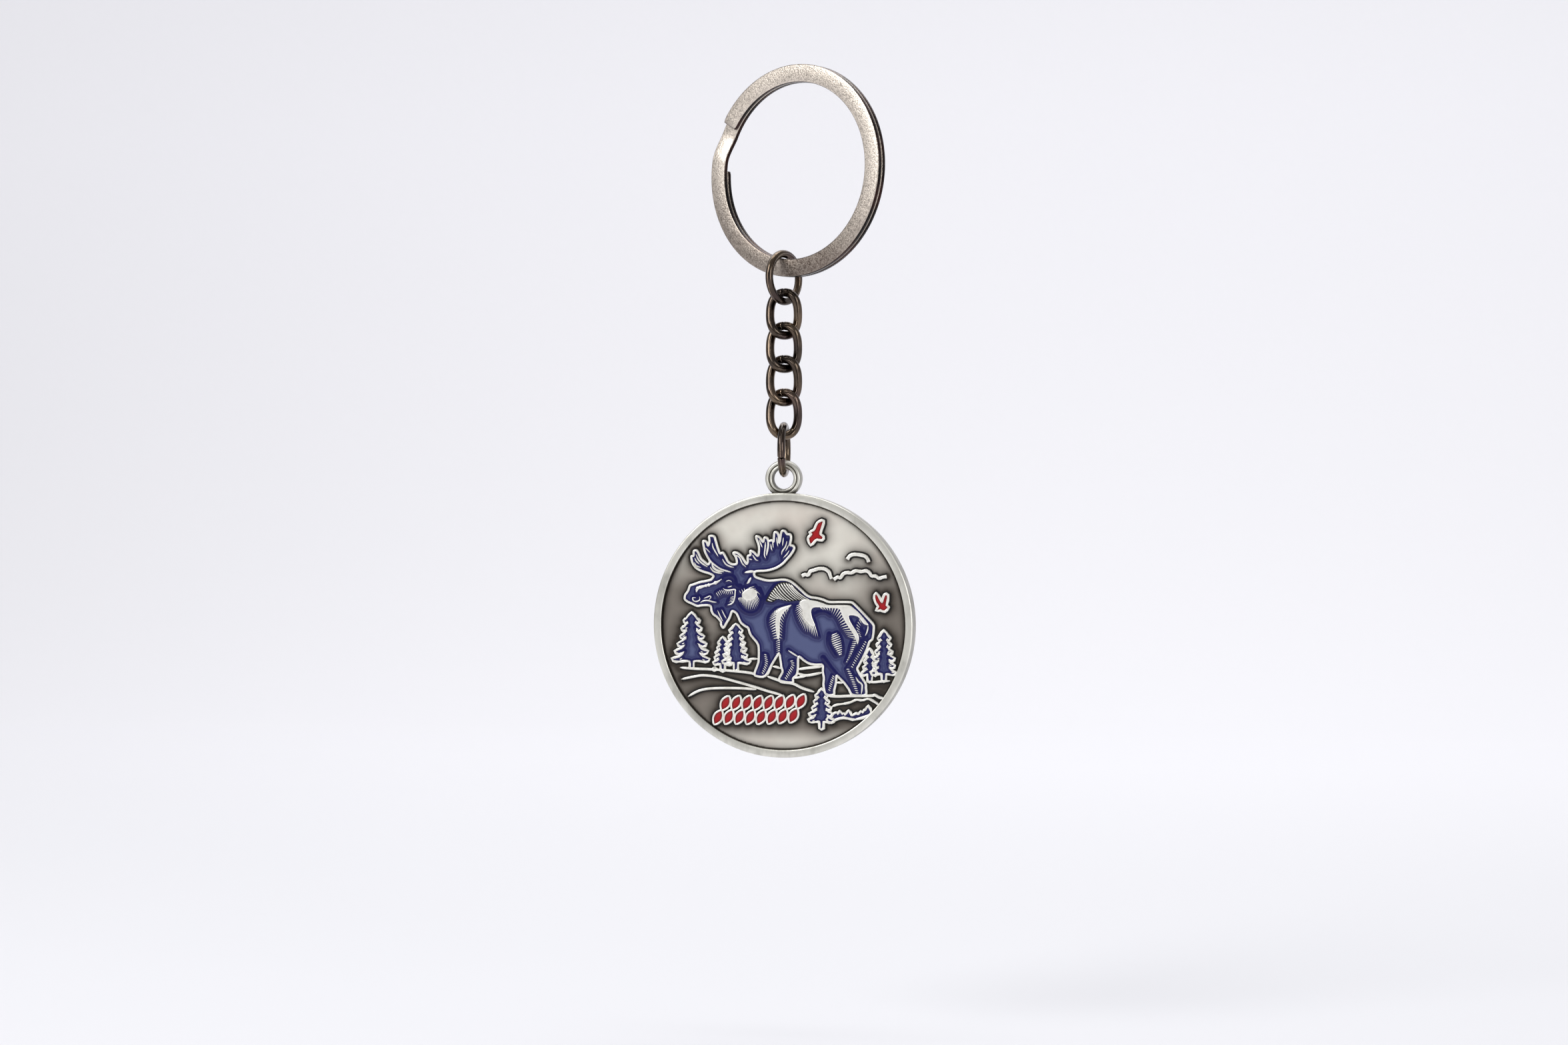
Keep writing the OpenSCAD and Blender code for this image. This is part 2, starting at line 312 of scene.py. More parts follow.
@dataclass(frozen=True)
class Gunmetal:
    """Dark plating on the chain, with brown and violet tints and a gloss."""

    dark: tuple = rgb(70, 62, 56)
    warm: tuple = rgb(112, 97, 82)
    violet: tuple = rgb(84, 69, 70)
    warm_cloud: float = 260
    violet_cloud: float = 170
    dents: float = 700
    grain: float = 3200

    def material(self) -> bpy.types.Material:
        """Builds the material.

        Returns:
            The material.
        """
        sheet = Sheet("gunmetal")
        base = sheet.mix(sheet.noise(self.warm_cloud, 3).step(0.38, 0.66), self.dark, self.warm)
        tinted = sheet.mix(sheet.noise(self.violet_cloud, 2).step(0.5, 0.7) * 0.6, base, self.violet)
        fine = sheet.noise(self.grain, 3)
        return sheet.finish(
            Base_Color=tinted,
            Metallic=1.0,
            Roughness=0.15 + 0.08 * fine.step(0.4, 0.7),
            Normal=sheet.bump(sheet.noise(self.dents, 3), 0.00002, 0.25),
        )


@dataclass(frozen=True)
class Pewter:
    """Antique pewter plating on the medal's rim, edge, loop and back."""

    bright: tuple = rgb(229, 227, 217)
    grey: tuple = rgb(144, 142, 133)
    dark: tuple = rgb(74, 69, 62)
    cloud: float = 170
    streaks: float = 900
    grain: float = 2400

    def material(self) -> bpy.types.Material:
        """Builds the material, which reads the darkness attribute: 1 in the deepest recess, with painted
        shade on the outer edge and on the loop's outer band and foot.

        Returns:
            The material.
        """
        sheet = Sheet("antique_pewter")
        patina_and_shade = sheet.attribute("patina_and_shade")
        cloud = sheet.noise(self.cloud, 4).step(0.42, 0.72)
        streak = sheet.noise(self.streaks, 4, (1, 1, 0.35)).step(0.45, 0.7)
        tone = sheet.mix((cloud * 0.45 + streak * 0.25).held(), self.bright, self.grey)
        return sheet.finish(
            Base_Color=sheet.mix(patina_and_shade, tone, self.dark),
            Metallic=0.85,
            Roughness=0.36 + 0.1 * streak + 0.1 * patina_and_shade,
            Normal=sheet.bump(streak * 0.5 + sheet.noise(self.grain, 2) * 0.5, 0.00002, 0.3),
        )


@dataclass(frozen=True)
class FieldPatinaAndShade:
    """The medal's sunk field: pale and satin in the open, dark beside the relief, and carrying the
    painted shade of its darkness map.
    """

    pale: tuple = rgb(246, 242, 230)
    ground: tuple = rgb(152, 144, 134)
    dark: tuple = rgb(60, 53, 46)
    warm: tuple = rgb(206, 190, 178)
    cloud: float = 110
    smudge: float = 420
    grain: float = 3000

    def material(self) -> bpy.types.Material:
        """Builds the material, which reads the attributes patina and ground.

        Returns:
            The material.
        """
        sheet = Sheet("field_patina_and_shade")
        patina_and_shade = sheet.attribute("patina_and_shade")
        cloud = sheet.noise(self.cloud, 3).step(0.4, 0.7)
        sky = sheet.mix(cloud * 0.5, self.pale, self.warm)
        # the ground tone also carries painted shade low in the sky and at both sides
        tone = sheet.mix(sheet.attribute("ground"), sky, self.ground)
        # the darkness mixes antique black with painted shade
        soft = (patina_and_shade + (sheet.noise(self.smudge, 3) - 0.5) * 0.16).held()
        return sheet.finish(
            Base_Color=sheet.mix(soft, tone, self.dark),
            Metallic=0.55,
            Roughness=0.36 + 0.1 * cloud,
            Normal=sheet.bump(sheet.noise(self.grain, 2), 0.00001, 0.25),
        )


@dataclass(frozen=True)
class BrightMetal:
    """Raised metal that has been wiped bright: lines, hatching and small plateaus."""

    bright: tuple = rgb(246, 244, 236)
    dull: tuple = rgb(208, 205, 194)
    dull_cloud: float = 900
    grain: float = 2600

    def material(self) -> bpy.types.Material:
        """Builds the material.

        Returns:
            The material.
        """
        sheet = Sheet("bright_metal")
        share = sheet.noise(self.dull_cloud, 3).step(0.45, 0.75) * 0.6
        return sheet.finish(
            Base_Color=sheet.mix(share, self.bright, self.dull),
            Metallic=0.55,
            Roughness=0.34 + 0.1 * share,
            Normal=sheet.bump(sheet.noise(self.grain, 2), 0.00001, 0.3),
        )


@dataclass(frozen=True)
class Blackening:
    """The black that stays in the corner between the relief and the field."""

    black: tuple = rgb(10, 8, 7)
    brown: tuple = rgb(34, 28, 23)
    brown_cloud: float = 700
    grain: float = 2500

    def material(self) -> bpy.types.Material:
        """Builds the material.

        Returns:
            The material.
        """
        sheet = Sheet("blackening")
        return sheet.finish(
            Base_Color=sheet.mix(
                sheet.noise(self.brown_cloud, 3).step(0.5, 0.75), self.black, self.brown),
            Metallic=0.3,
            Roughness=0.55,
            Normal=sheet.bump(sheet.noise(self.grain, 2), 0.00001, 0.2),
        )


@dataclass(frozen=True)
class Enamel:
    """Soft enamel: deep colour against the metal, a paler pool in the middle that is painted sheen, and a
    faint painted glint a little way from the metal.
    """

    name: str
    deep: tuple
    pool: tuple
    glint: tuple
    wobble: float = 600
    ripple: float = 500

    def material(self) -> bpy.types.Material:
        """Builds the material, which reads the attribute gap (mm to the nearest raised metal).

        Returns:
            The material.
        """
        sheet = Sheet(self.name)
        gap = sheet.attribute("gap") + (sheet.noise(self.wobble, 2) - 0.5) * 0.2
        # painted sheen: the enamel turns paler away from the metal
        pool = gap.step(0.34, 1.15)
        # painted highlight: a thin band of glint a little way from the metal
        line = gap.step(0.36, 0.46) * (1 - gap.step(0.48, 0.72))
        base = sheet.mix(pool, self.deep, self.pool)
        return sheet.finish(
            Base_Color=sheet.mix(line * 0.22, base, self.glint),
            Metallic=0.0,
            Roughness=0.2 + 0.14 * pool,
            Specular_IOR_Level=0.35,
            Coat_Weight=0.25,
            Coat_Roughness=0.1,
            Normal=sheet.bump(sheet.noise(self.ripple, 2), 0.00003, 0.2),
        )


@dataclass(frozen=True)
class PaleBoard:
    """The studio's pale floor and backdrop, which glow as painted light, more on the backdrop than on the
    floor.
    """

    tone: tuple = rgb(208, 208, 211)
    shade: tuple = rgb(204, 205, 209)
    glow: tuple = rgb(243, 242, 247)
    floor_glow: tuple = rgb(158, 158, 163)
    glow_strength: float = 0.38
    glow_from: float = 0.1
    glow_to: float = 0.7

    def material(self) -> bpy.types.Material:
        """Builds the material.

        Returns:
            The material.
        """
        sheet = Sheet("pale_board")
        base = sheet.mix(sheet.noise(6, 2).step(0.3, 0.7) * 0.15, self.tone, self.shade)
        # painted light: the board glows, brighter behind the object than on the floor
        behind = sheet.axis("Y").step(self.glow_from, self.glow_to)
        glow = sheet.mix(behind, self.floor_glow, self.glow)
        return sheet.finish(
            Base_Color=base, Roughness=0.9, Emission_Color=glow, Emission_Strength=self.glow_strength)


# ---------------------------------------------------------------- shapes of lines


def smooth_path(points: Sequence[Point], steps: int = 4, closed: bool = False) -> np.ndarray:
    """A curve that runs smoothly through the given points.

    Args:
        points: Points of the line.
        steps: Steps between two points.
        closed: Whether the line joins up.

    Returns:
        The curve's points, one row each.
    """
    p = np.array(points, float)
    n = len(p)
    rows = []
    for i in range(n if closed else n - 1):
        if closed:
            a, b, c, d = (p[(i + k) % n] for k in (-1, 0, 1, 2))
        else:
            a, b, c, d = (p[min(max(i + k, 0), n - 1)] for k in (-1, 0, 1, 2))
        for j in range(steps):
            t = j / steps
            rows.append(
                0.5 * (2 * b + (c - a) * t + (2 * a - 5 * b + 4 * c - d) * t * t
                       + (3 * b - a - 3 * c + d) * t ** 3)
            )
    if not closed:
        rows.append(p[-1])
    return np.array(rows)


def lengths_along(path: np.ndarray) -> np.ndarray:
    """The length of a path up to each of its points."""
    return np.concatenate([[0], np.cumsum(np.linalg.norm(np.diff(path, axis=0), axis=1))])


def along(path: np.ndarray, count: int) -> np.ndarray:
    """Points at even distances along a path.

    Args:
        path: The path's points.
        count: How many points are wanted.

    Returns:
        The points.
    """
    lengths = lengths_along(path)
    wanted = np.linspace(0, lengths[-1], count)
    return np.stack([np.interp(wanted, lengths, path[:, k]) for k in range(path.shape[1])], 1)


def path_length(path: np.ndarray) -> float:
    """The length of a path."""
    return float(np.linalg.norm(np.diff(path, axis=0), axis=1).sum())


def inside(points: np.ndarray, outline: np.ndarray) -> np.ndarray:
    """Tells which points lie inside a closed outline.

    Args:
        points: Points to test.
        outline: The outline's corners.

    Returns:
        One boolean for each point.
    """
    hit = np.zeros(len(points), bool)
    a = outline
    b = np.roll(outline, -1, axis=0)
    for (x0, y0), (x1, y1) in zip(a, b):
        if y0 == y1:
            continue
        crosses = (y0 > points[:, 1]) != (y1 > points[:, 1])
        x = x0 + (points[:, 1] - y0) * (x1 - x0) / (y1 - y0)
        hit ^= crosses & (points[:, 0] < x)
    return hit


class Nearness:
    """Finds how far a point is from a set of lines."""

    def __init__(self, paths: Iterable[np.ndarray], spacing: float = 0.08) -> None:
        """Samples the lines.

        Args:
            paths: The lines.
            spacing: The distance between two samples, in mm.
        """
        self.spacing = spacing
        rows = [along(p, max(2, int(path_length(p) / spacing) + 1)) for p in paths]
        self.samples = np.concatenate(rows)
        self._tree = KDTree(len(self.samples))
        for i, (x, y) in enumerate(self.samples):
            self._tree.insert((x, y, 0), i)
        self._tree.balance()

    def distance(self, points: np.ndarray) -> np.ndarray:
        """The distance from each point to the nearest line, in mm."""
        return np.array([self._tree.find((x, y, 0))[2] for x, y in points])

    def crowding(self, points: np.ndarray, reach: float, every: int = 4, block: int = 2000) -> np.ndarray:
        """How much line there is round each point.

        Args:
            points: Points to test.
            reach: The width of the bell that weighs the lines, in mm.
            every: One sample in this many is used.
            block: How many points are worked out at a time.

        Returns:
            A weight for each point, which is about 1 beside one straight line.
        """
        thin = self.samples[::every]
        total = np.zeros(len(points))
        for start in range(0, len(points), block):
            part = points[start:start + block]
            gap = ((part[:, None, :] - thin[None]) ** 2).sum(2)
            total[start:start + block] = np.exp(-gap / (2 * reach * reach)).sum(1)
        return total * (self.spacing * every) / (reach * math.sqrt(2 * math.pi))


# ---------------------------------------------------------------- meshes


def new_piece(name: str, points: np.ndarray, faces: Sequence[Sequence[int]], finish: bpy.types.Material,
              marks: dict[str, np.ndarray] | None = None, smooth: bool = True) -> bpy.types.Object:
    """Makes a mesh object.

    Args:
        name: The piece's name.
        points: Its points, in metres, in the row frame.
        faces: Its faces.
        finish: Its material.
        marks: Numbers for each point, by attribute name.
        smooth: Whether the faces are shaded smooth.

    Returns:
        The object.
    """
    mesh = bpy.data.meshes.new(name)
    mesh.from_pydata([tuple(p) for p in points], [], [tuple(f) for f in faces])
    mesh.materials.append(finish)
    for key, values in (marks or {}).items():
        layer = mesh.attributes.new(key, "FLOAT", "POINT")
        layer.data.foreach_set("value", np.asarray(values, np.float32))
    mesh.polygons.foreach_set("use_smooth", [smooth] * len(mesh.polygons))
    mesh.update()
    made = bpy.data.objects.new(name, mesh)
    bpy.context.scene.collection.objects.link(made)
    return made


def stand_in(piece: bpy.types.Object, body: str, nodes: Sequence[str] = ()) -> None:
    """Fixes a piece to its body, hides the CAD nodes that it replaces, and logs its face count.

    Args:
        piece: The finished piece.
        body: The CAD body that it moves with.
        nodes: The CAD nodes that it replaces.
    """
    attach(piece, body)
    if nodes:
        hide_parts(*nodes)
    LOG.info("%s: %d faces on %s", piece.name, len(piece.data.polygons), body)


def revolve(profile: Sequence[Point], sides: int) -> tuple[np.ndarray, list[list[int]]]:
    """Turns a profile about the Z axis.

    Args:
        profile: (radius, height) pairs; a radius of 0 at either end closes the shape, and
            otherwise the profile is taken as a closed ring.
        sides: Steps round the axis.

    Returns:
        Points and faces.
    """
    p = np.array(profile, float)
    capped = p[0, 0] == 0
    rim = p[1:-1] if capped else p
    angles = np.arange(sides) * 2 * math.pi / sides
    turned = np.stack([np.cos(angles), np.sin(angles)], 1)
    rows = [np.column_stack([turned * r, np.full(sides, z)]) for r, z in rim]
    points = np.concatenate(rows)
    faces = []
    count = len(rim)
    for i in range(count - 1 if capped else count):
        k = (i + 1) % count
        for j in range(sides):
            m = (j + 1) % sides
            faces.append([i * sides + j, i * sides + m, k * sides + m, k * sides + j])
    if capped:
        first, last = len(points), len(points) + 1
        points = np.concatenate([points, [[0, 0, p[0, 1]], [0, 0, p[-1, 1]]]])
        for j in range(sides):
            m = (j + 1) % sides
            faces.append([first, m, j])
            faces.append([last, (count - 1) * sides + j, (count - 1) * sides + m])
    return points, faces


@dataclass(frozen=True)
class Slab:
    """A flat closed shape with a fine top: its outline, the mesh spacing and two heights."""

    outline: np.ndarray
    spacing: float
    top: float
    bottom: float

    def mesh(self) -> tuple[np.ndarray, list[list[int]], int]:
        """Builds the slab.

        Returns:
            Points, faces, and how many of the points are on top. The top's points come first.
        """
        low, high = self.outline.min(0), self.outline.max(0)
        step = self.spacing
        xs = np.arange(low[0] + step / 2, high[0], step)
        ys = np.arange(low[1] + step / 2, high[1], step * 0.866)
        grid = np.array([(x + (step / 2 if k % 2 else 0), y) for k, y in enumerate(ys) for x in xs])
        if len(grid):
            grid = grid[inside(grid, self.outline)]
        if len(grid):
            ring = Nearness([np.vstack([self.outline, self.outline[:1]])], spacing=step / 3)
            grid = grid[ring.distance(grid) > step * 0.55]
        seeds = [Vector(p) for p in self.outline] + [Vector(p) for p in grid]
        edge = [(i, (i + 1) % len(self.outline)) for i in range(len(self.outline))]
        flat, _, faces, *_ = delaunay_2d_cdt(seeds, edge, [], 1, 1e-6)
        top = np.array([(p.x, p.y) for p in flat])
        up = []
        for f in faces:
            a, b, c = (top[i] for i in f)
            turn = (b[0] - a[0]) * (c[1] - a[1]) - (b[1] - a[1]) * (c[0] - a[0])
            up.append(list(f) if turn > 0 else list(f)[::-1])
        used = dict.fromkeys((f[i], f[(i + 1) % 3]) for f in up for i in range(3))
        border = [e for e in used if (e[1], e[0]) not in used]
        n = len(top)
        levels = [np.column_stack([top, np.full(n, z)]) for z in (self.top, self.bottom)]
        points = np.concatenate(levels)
        down = [[i + n for i in f[::-1]] for f in up]
        walls = [[b, a, a + n, b + n] for a, b in border]
        return points, up + down + walls, n


def join_meshes(parts: Sequence[tuple]) -> tuple[np.ndarray, list[list[int]]]:
    """Joins meshes into one.

    Args:
        parts: For each mesh its points and faces, and anything more, which is left out.

    Returns:
        All points and all faces.
    """
    start = 0
    faces = []
    for points, part_faces, *_ in parts:
        faces += [[i + start for i in f] for f in part_faces]
        start += len(points)
    return np.concatenate([part[0] for part in parts]), faces


class GeometrySheet:
    """A Geometry Nodes tree that sweeps a rounded bar along every line of a mesh of edges."""

    def __init__(self) -> None:
        """Builds the tree with its named inputs."""
        tree = bpy.data.node_groups.new("swept_bar", "GeometryNodeTree")
        self.tree = tree
        face = tree.interface
        face.new_socket("Lines", in_out="INPUT", socket_type="NodeSocketGeometry")
        for name in ("Width", "Height", "Rounding"):
            face.new_socket(name, in_out="INPUT", socket_type="NodeSocketFloat")
        face.new_socket("Rounding Steps", in_out="INPUT", socket_type="NodeSocketInt")
        face.new_socket("Finish", in_out="INPUT", socket_type="NodeSocketMaterial")
        face.new_socket("Bars", in_out="OUTPUT", socket_type="NodeSocketGeometry")
        given = tree.nodes.new("NodeGroupInput")
        out = tree.nodes.new("NodeGroupOutput")
        curve = self._node("GeometryNodeMeshToCurve", {}, {"Mesh": given.outputs["Lines"]})
        upright = self._node("GeometryNodeSetCurveNormal", {"mode": "Z_UP"}, {"Curve": curve.outputs[0]})
        bar = self._node("GeometryNodeCurvePrimitiveQuadrilateral", {"mode": "RECTANGLE"},
                         {"Width": given.outputs["Width"], "Height": given.outputs["Height"]})
        rounded = self._node("GeometryNodeFilletCurve", {"mode": "POLY"}, {
            "Curve": bar.outputs[0], "Count": given.outputs["Rounding Steps"],
            "Radius": given.outputs["Rounding"], "Limit Radius": True})
        reach = self._node("GeometryNodeInputNamedAttribute", {"data_type": "FLOAT"}, {"Name": "reach"})
        swept = self._node("GeometryNodeCurveToMesh", {}, {
            "Curve": upright.outputs[0], "Profile Curve": rounded.outputs[0],
            "Scale": reach.outputs[0], "Fill Caps": True})
        soft = self._node("GeometryNodeSetShadeSmooth", {}, {"Geometry": swept.outputs[0]})
        real = self._node("GeometryNodeRealizeInstances", {}, {"Geometry": soft.outputs[0]})
        dressed = self._node("GeometryNodeSetMaterial", {}, {
            "Geometry": real.outputs[0], "Material": given.outputs["Finish"]})
        tree.links.new(dressed.outputs[0], out.inputs[0])

    def _node(self, kind: str, settings: dict[str, object], values: dict[str, object]) -> bpy.types.Node:
        """Adds a node.

        Args:
            kind: The node's type.
            settings: Its own settings, set first.
            values: Values or output sockets for its inputs.

        Returns:
            The node.
        """
        made = self.tree.nodes.new(kind)
        for key, value in settings.items():
            setattr(made, key, value)
        for key, value in values.items():
            if isinstance(value, bpy.types.NodeSocket):
                self.tree.links.new(value, made.inputs[key])
            else:
                made.inputs[key].default_value = value
        return made

    def sweep(self, name: str, lines: Sequence[tuple[np.ndarray, np.ndarray, bool]],
              sizes: dict[str, object]) -> tuple[np.ndarray, list[list[int]], np.ndarray]:
        """Sweeps the bar along lines.

        Args:
            name: A name for the passing object.
            lines: For each line its points (mm), its share of the bar's size at each point, and
                whether it is closed.
            sizes: Values for the tree's named inputs.

        Returns:
            Points, faces and point normals, in the lines' own frame.
        """
        points, edges, reach = [], [], []
        for path, share, closed in lines:
            start = len(points)
            flat = path if path.shape[1] == 3 else np.column_stack([path, np.zeros(len(path))])
            points.extend(tuple(p) for p in flat)
            reach.extend(share)
            edges.extend((start + i, start + i + 1) for i in range(len(path) - 1))
            if closed:
                edges.append((start + len(path) - 1, start))
        mesh = bpy.data.meshes.new(name)
        mesh.from_pydata(points, edges, [])
        layer = mesh.attributes.new("reach", "FLOAT", "POINT")
        layer.data.foreach_set("value", np.array(reach, np.float32))
        holder = bpy.data.objects.new(name, mesh)
        bpy.context.scene.collection.objects.link(holder)
        modifier = holder.modifiers.new("bar", "NODES")
        modifier.node_group = self.tree
        sockets = {s.name: s.identifier for s in self.tree.interface.items_tree if s.in_out == "INPUT"}
        for key, value in sizes.items():
            modifier[sockets[key]] = value
        holder.update_tag()
        bpy.context.view_layer.update()
        graph = bpy.context.evaluated_depsgraph_get()
        swept = bpy.data.meshes.new_from_object(holder.evaluated_get(graph))
        co = np.array([v.co for v in swept.vertices], float).reshape(-1, 3)
        normals = np.array([v.vector for v in swept.vertex_normals], float).reshape(-1, 3)
        faces = [list(f.vertices) for f in swept.polygons]
        holder.modifiers.clear()
        bpy.data.objects.remove(holder)
        bpy.data.meshes.remove(swept)
        return co, outward(co, faces), normals


def signed_volume(points: np.ndarray, faces: Sequence[Sequence[int]]) -> float:
    """Measures what the faces enclose.

    Args:
        points: The mesh's points.
        faces: The mesh's faces.

    Returns:
        The volume, negative where the faces point inwards.
    """
    total = 0.0
    for f in faces:
        a = points[f[0]]
        for i in range(1, len(f) - 1):
            total += float(np.dot(a, np.cross(points[f[i]], points[f[i + 1]])))
    return total / 6


def outward(points: np.ndarray, faces: list[list[int]]) -> list[list[int]]:
    """The faces of a closed mesh, all turned over where they point inwards."""
    return [f[::-1] for f in faces] if signed_volume(points, faces) < 0 else faces


# ---------------------------------------------------------------- wire parts


@dataclass
class Wires:
    """The frame's places that the wire parts are built on, read from the CAD nodes."""

    ring_turn: float = 26.0
    chain_turn: float = 10.0
    lower_turn: float = 5.0

    def centre(self, node: str) -> np.ndarray:
        """The middle of a CAD node's box, in metres."""
        low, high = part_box(node)
        return np.array((low + high) / 2)

    def place(self, points: np.ndarray, node: str, turn: float) -> np.ndarray:
        """Stands a part drawn flat in X and Y upright at its node.

        Args:
            points: Points in mm; X stays across, Y becomes up and Z comes forward.
            node: The CAD node whose middle it goes to.
            turn: Turn about the vertical, in degrees.

        Returns:
            Points in metres, in the row frame.
        """
        upright = np.column_stack([points[:, 0], -points[:, 2], points[:, 1]]) * MM
        return upright @ np.array(Matrix.Rotation(math.radians(turn), 3, "Z")).T + self.centre(node)


@dataclass
class SplitRing:
    """The key ring: one flat wire wound twice, which steps from the front turn to the back one."""

    outer_d: float = 30.42
    face_w: float = 2.56
    coil_t: float = 0.79
    cad_coil_t: float = 0.8
    coil_play: float = 0.06
    start: float = 148.0
    front_run: float = 337.0
    step_run: float = 18.0
    back_run: float = 337.0
    corner: float = 0.2
    end_taper: float = 0.5
    step_deg: float = 1.5

    def build(self, sheet: GeometrySheet, wires: Wires, finish: bpy.types.Material) -> bpy.types.Object:
        """Builds the ring.

        Args:
            sheet: The sweeping tree.
            wires: Places of the wire parts.
            finish: The ring's plating.

        Returns:
            The piece.
        """
        radius = (self.outer_d - self.face_w) / 2
        layer = (self.cad_coil_t + self.coil_play) / 2
        run = self.front_run + self.step_run + self.back_run
        s = np.linspace(0, run, int(run / self.step_deg))
        t = np.clip((s - self.front_run) / self.step_run, 0, 1)
        height = layer * (1 - 2 * t * t * (3 - 2 * t))
        angle = np.radians(self.start - s)
        path = np.column_stack([radius * np.cos(angle), radius * np.sin(angle), height])
        from_end = np.minimum(s, run - s) * math.pi / 180 * radius
        reach = 0.9 + 0.1 * np.clip(from_end / self.end_taper, 0, 1)
        points, faces, normals = sheet.sweep("ring_line", [(path, reach, False)], {
            "Width": self.face_w, "Height": self.coil_t, "Rounding": self.corner,
            "Rounding Steps": 3, "Finish": finish})
        # face is 1 on the ring's flat faces; the material paints the walls between them dark as painted
        # shade
        face = np.clip((np.abs(normals[:, 2]) - 0.55) / 0.4, 0, 1)
        piece = new_piece("ring_coil", wires.place(points, "split_ring", -wires.ring_turn), faces, finish,
                          {"face": face})
        stand_in(piece, "ring", ["split_ring"])
        return piece


@dataclass
class RoundWire:
    """Round wire bent to a closed shape whose ends nearly meet."""

    diameter: float
    play: float = 0.1
    bevel: float = 0.12

    def sweep(self, sheet: GeometrySheet, path: np.ndarray, finish: bpy.types.Material) -> tuple:
        """Sweeps the wire along a path, with its cut ends broken.

        Args:
            sheet: The sweeping tree.
            path: The wire's centreline.
            finish: The plating.

        Returns:
            Points, faces and normals.
        """
        lengths = lengths_along(path)
        from_end = np.minimum(lengths, lengths[-1] - lengths)
        reach = 0.86 + 0.14 * np.sqrt(np.clip(from_end / self.bevel, 0, 1))
        return sheet.sweep("wire_line", [(path, reach, False)], {
            "Width": self.diameter, "Height": self.diameter, "Rounding": self.diameter / 2,
            "Rounding Steps": 6, "Finish": finish})


@dataclass
class JumpRing:
    """A ring of round wire, cut open at one place."""

    name: str
    node: str
    body: str
    turn: float
    cut_deg: float
    outer_d: float = 8.0
    wire_d: float = 1.12
    cad_wire_d: float = 1.15

    def build(self, sheet: GeometrySheet, wires: Wires, finish: bpy.types.Material) -> bpy.types.Object:
        """Builds the ring.

        Args:
            sheet: The sweeping tree.
            wires: Places of the wire parts.
            finish: The ring's plating.

        Returns:
            The piece.
        """
        wire = RoundWire(self.wire_d)
        radius = (self.outer_d - self.cad_wire_d) / 2
        half_cut = math.degrees(wire.play / 2 / radius)
        angle = np.radians(self.cut_deg + half_cut + np.linspace(0, 360 - 2 * half_cut, 121))
        path = np.column_stack([radius * np.cos(angle), radius * np.sin(angle), np.zeros(len(angle))])
        path = thicken_ends(path)
        points, faces, _ = wire.sweep(sheet, path, finish)
        piece = new_piece(self.name, wires.place(points, self.node, self.turn), faces, finish)
        stand_in(piece, self.body, [self.node])
        return piece


def thicken_ends(path: np.ndarray, bevel: float = 0.12) -> np.ndarray:
    """Adds points close to both ends, so that a bevel there stays short.

    Args:
        path: The path's points.
        bevel: The length that holds the extra points, in mm.

    Returns:
        The path with its extra points.
    """
    def head(p: np.ndarray) -> np.ndarray:
        """The first point with two more just after it."""
        d = (p[1] - p[0]) / np.linalg.norm(p[1] - p[0])
        return np.array([p[0], p[0] + d * bevel * 0.35, p[0] + d * bevel])
    tail = head(path[::-1])[::-1]
    return np.vstack([head(path), path[2:-2], tail])


@dataclass
class CurbChain:
    """Four twisted links of round wire."""

    count: int = 4
    link_w: float = 5.3
    link_h: float = 7.46
    wire_d: float = 1.25
    cad_wire_d: float = 1.3
    twist: float = 34.0
    power: float = 2.32
    steps: int = 120
    gap: float = 0.1

    def path(self) -> np.ndarray:
        """The centreline of one link, cut at its top.

        Returns:
            The centreline's points, in mm.
        """
        a = (self.link_w - self.cad_wire_d) / 2
        b = (self.link_h - self.cad_wire_d) / 2
        start = math.asin((self.gap / 2 / a) ** (self.power / 2))
        t = np.linspace(start, 2 * math.pi - start, self.steps)
        x = a * np.sign(np.sin(t)) * np.abs(np.sin(t)) ** (2 / self.power)
        z = b * np.sign(np.cos(t)) * np.abs(np.cos(t)) ** (2 / self.power)
        forward = math.tan(math.radians(self.twist)) * x * z / b
        return thicken_ends(along(np.column_stack([x, z, forward]), self.steps))

    def build(
        self, sheet: GeometrySheet, wires: Wires, finish: bpy.types.Material
    ) -> list[bpy.types.Object]:
        """Builds every link.

        Args:
            sheet: The sweeping tree.
            wires: Places of the wire parts.
            finish: The links' plating.

        Returns:
            The pieces, from the top down.
        """
        made = []
        points, faces, _ = RoundWire(self.wire_d).sweep(sheet, self.path(), finish)
        for i in range(1, self.count + 1):
            node = f"chain_link_{i}"
            placed = wires.place(points, node, wires.chain_turn)
            piece = new_piece(f"curb_link_{i}", placed, faces, finish)
            stand_in(piece, f"link_{i}", [node])
            made.append(piece)
        return made


# ---------------------------------------------------------------- the medal's artwork


class Taper(Enum):
    """How a raised line ends."""

    NONE = "none"
    BOTH = "both"
    LAST = "last"


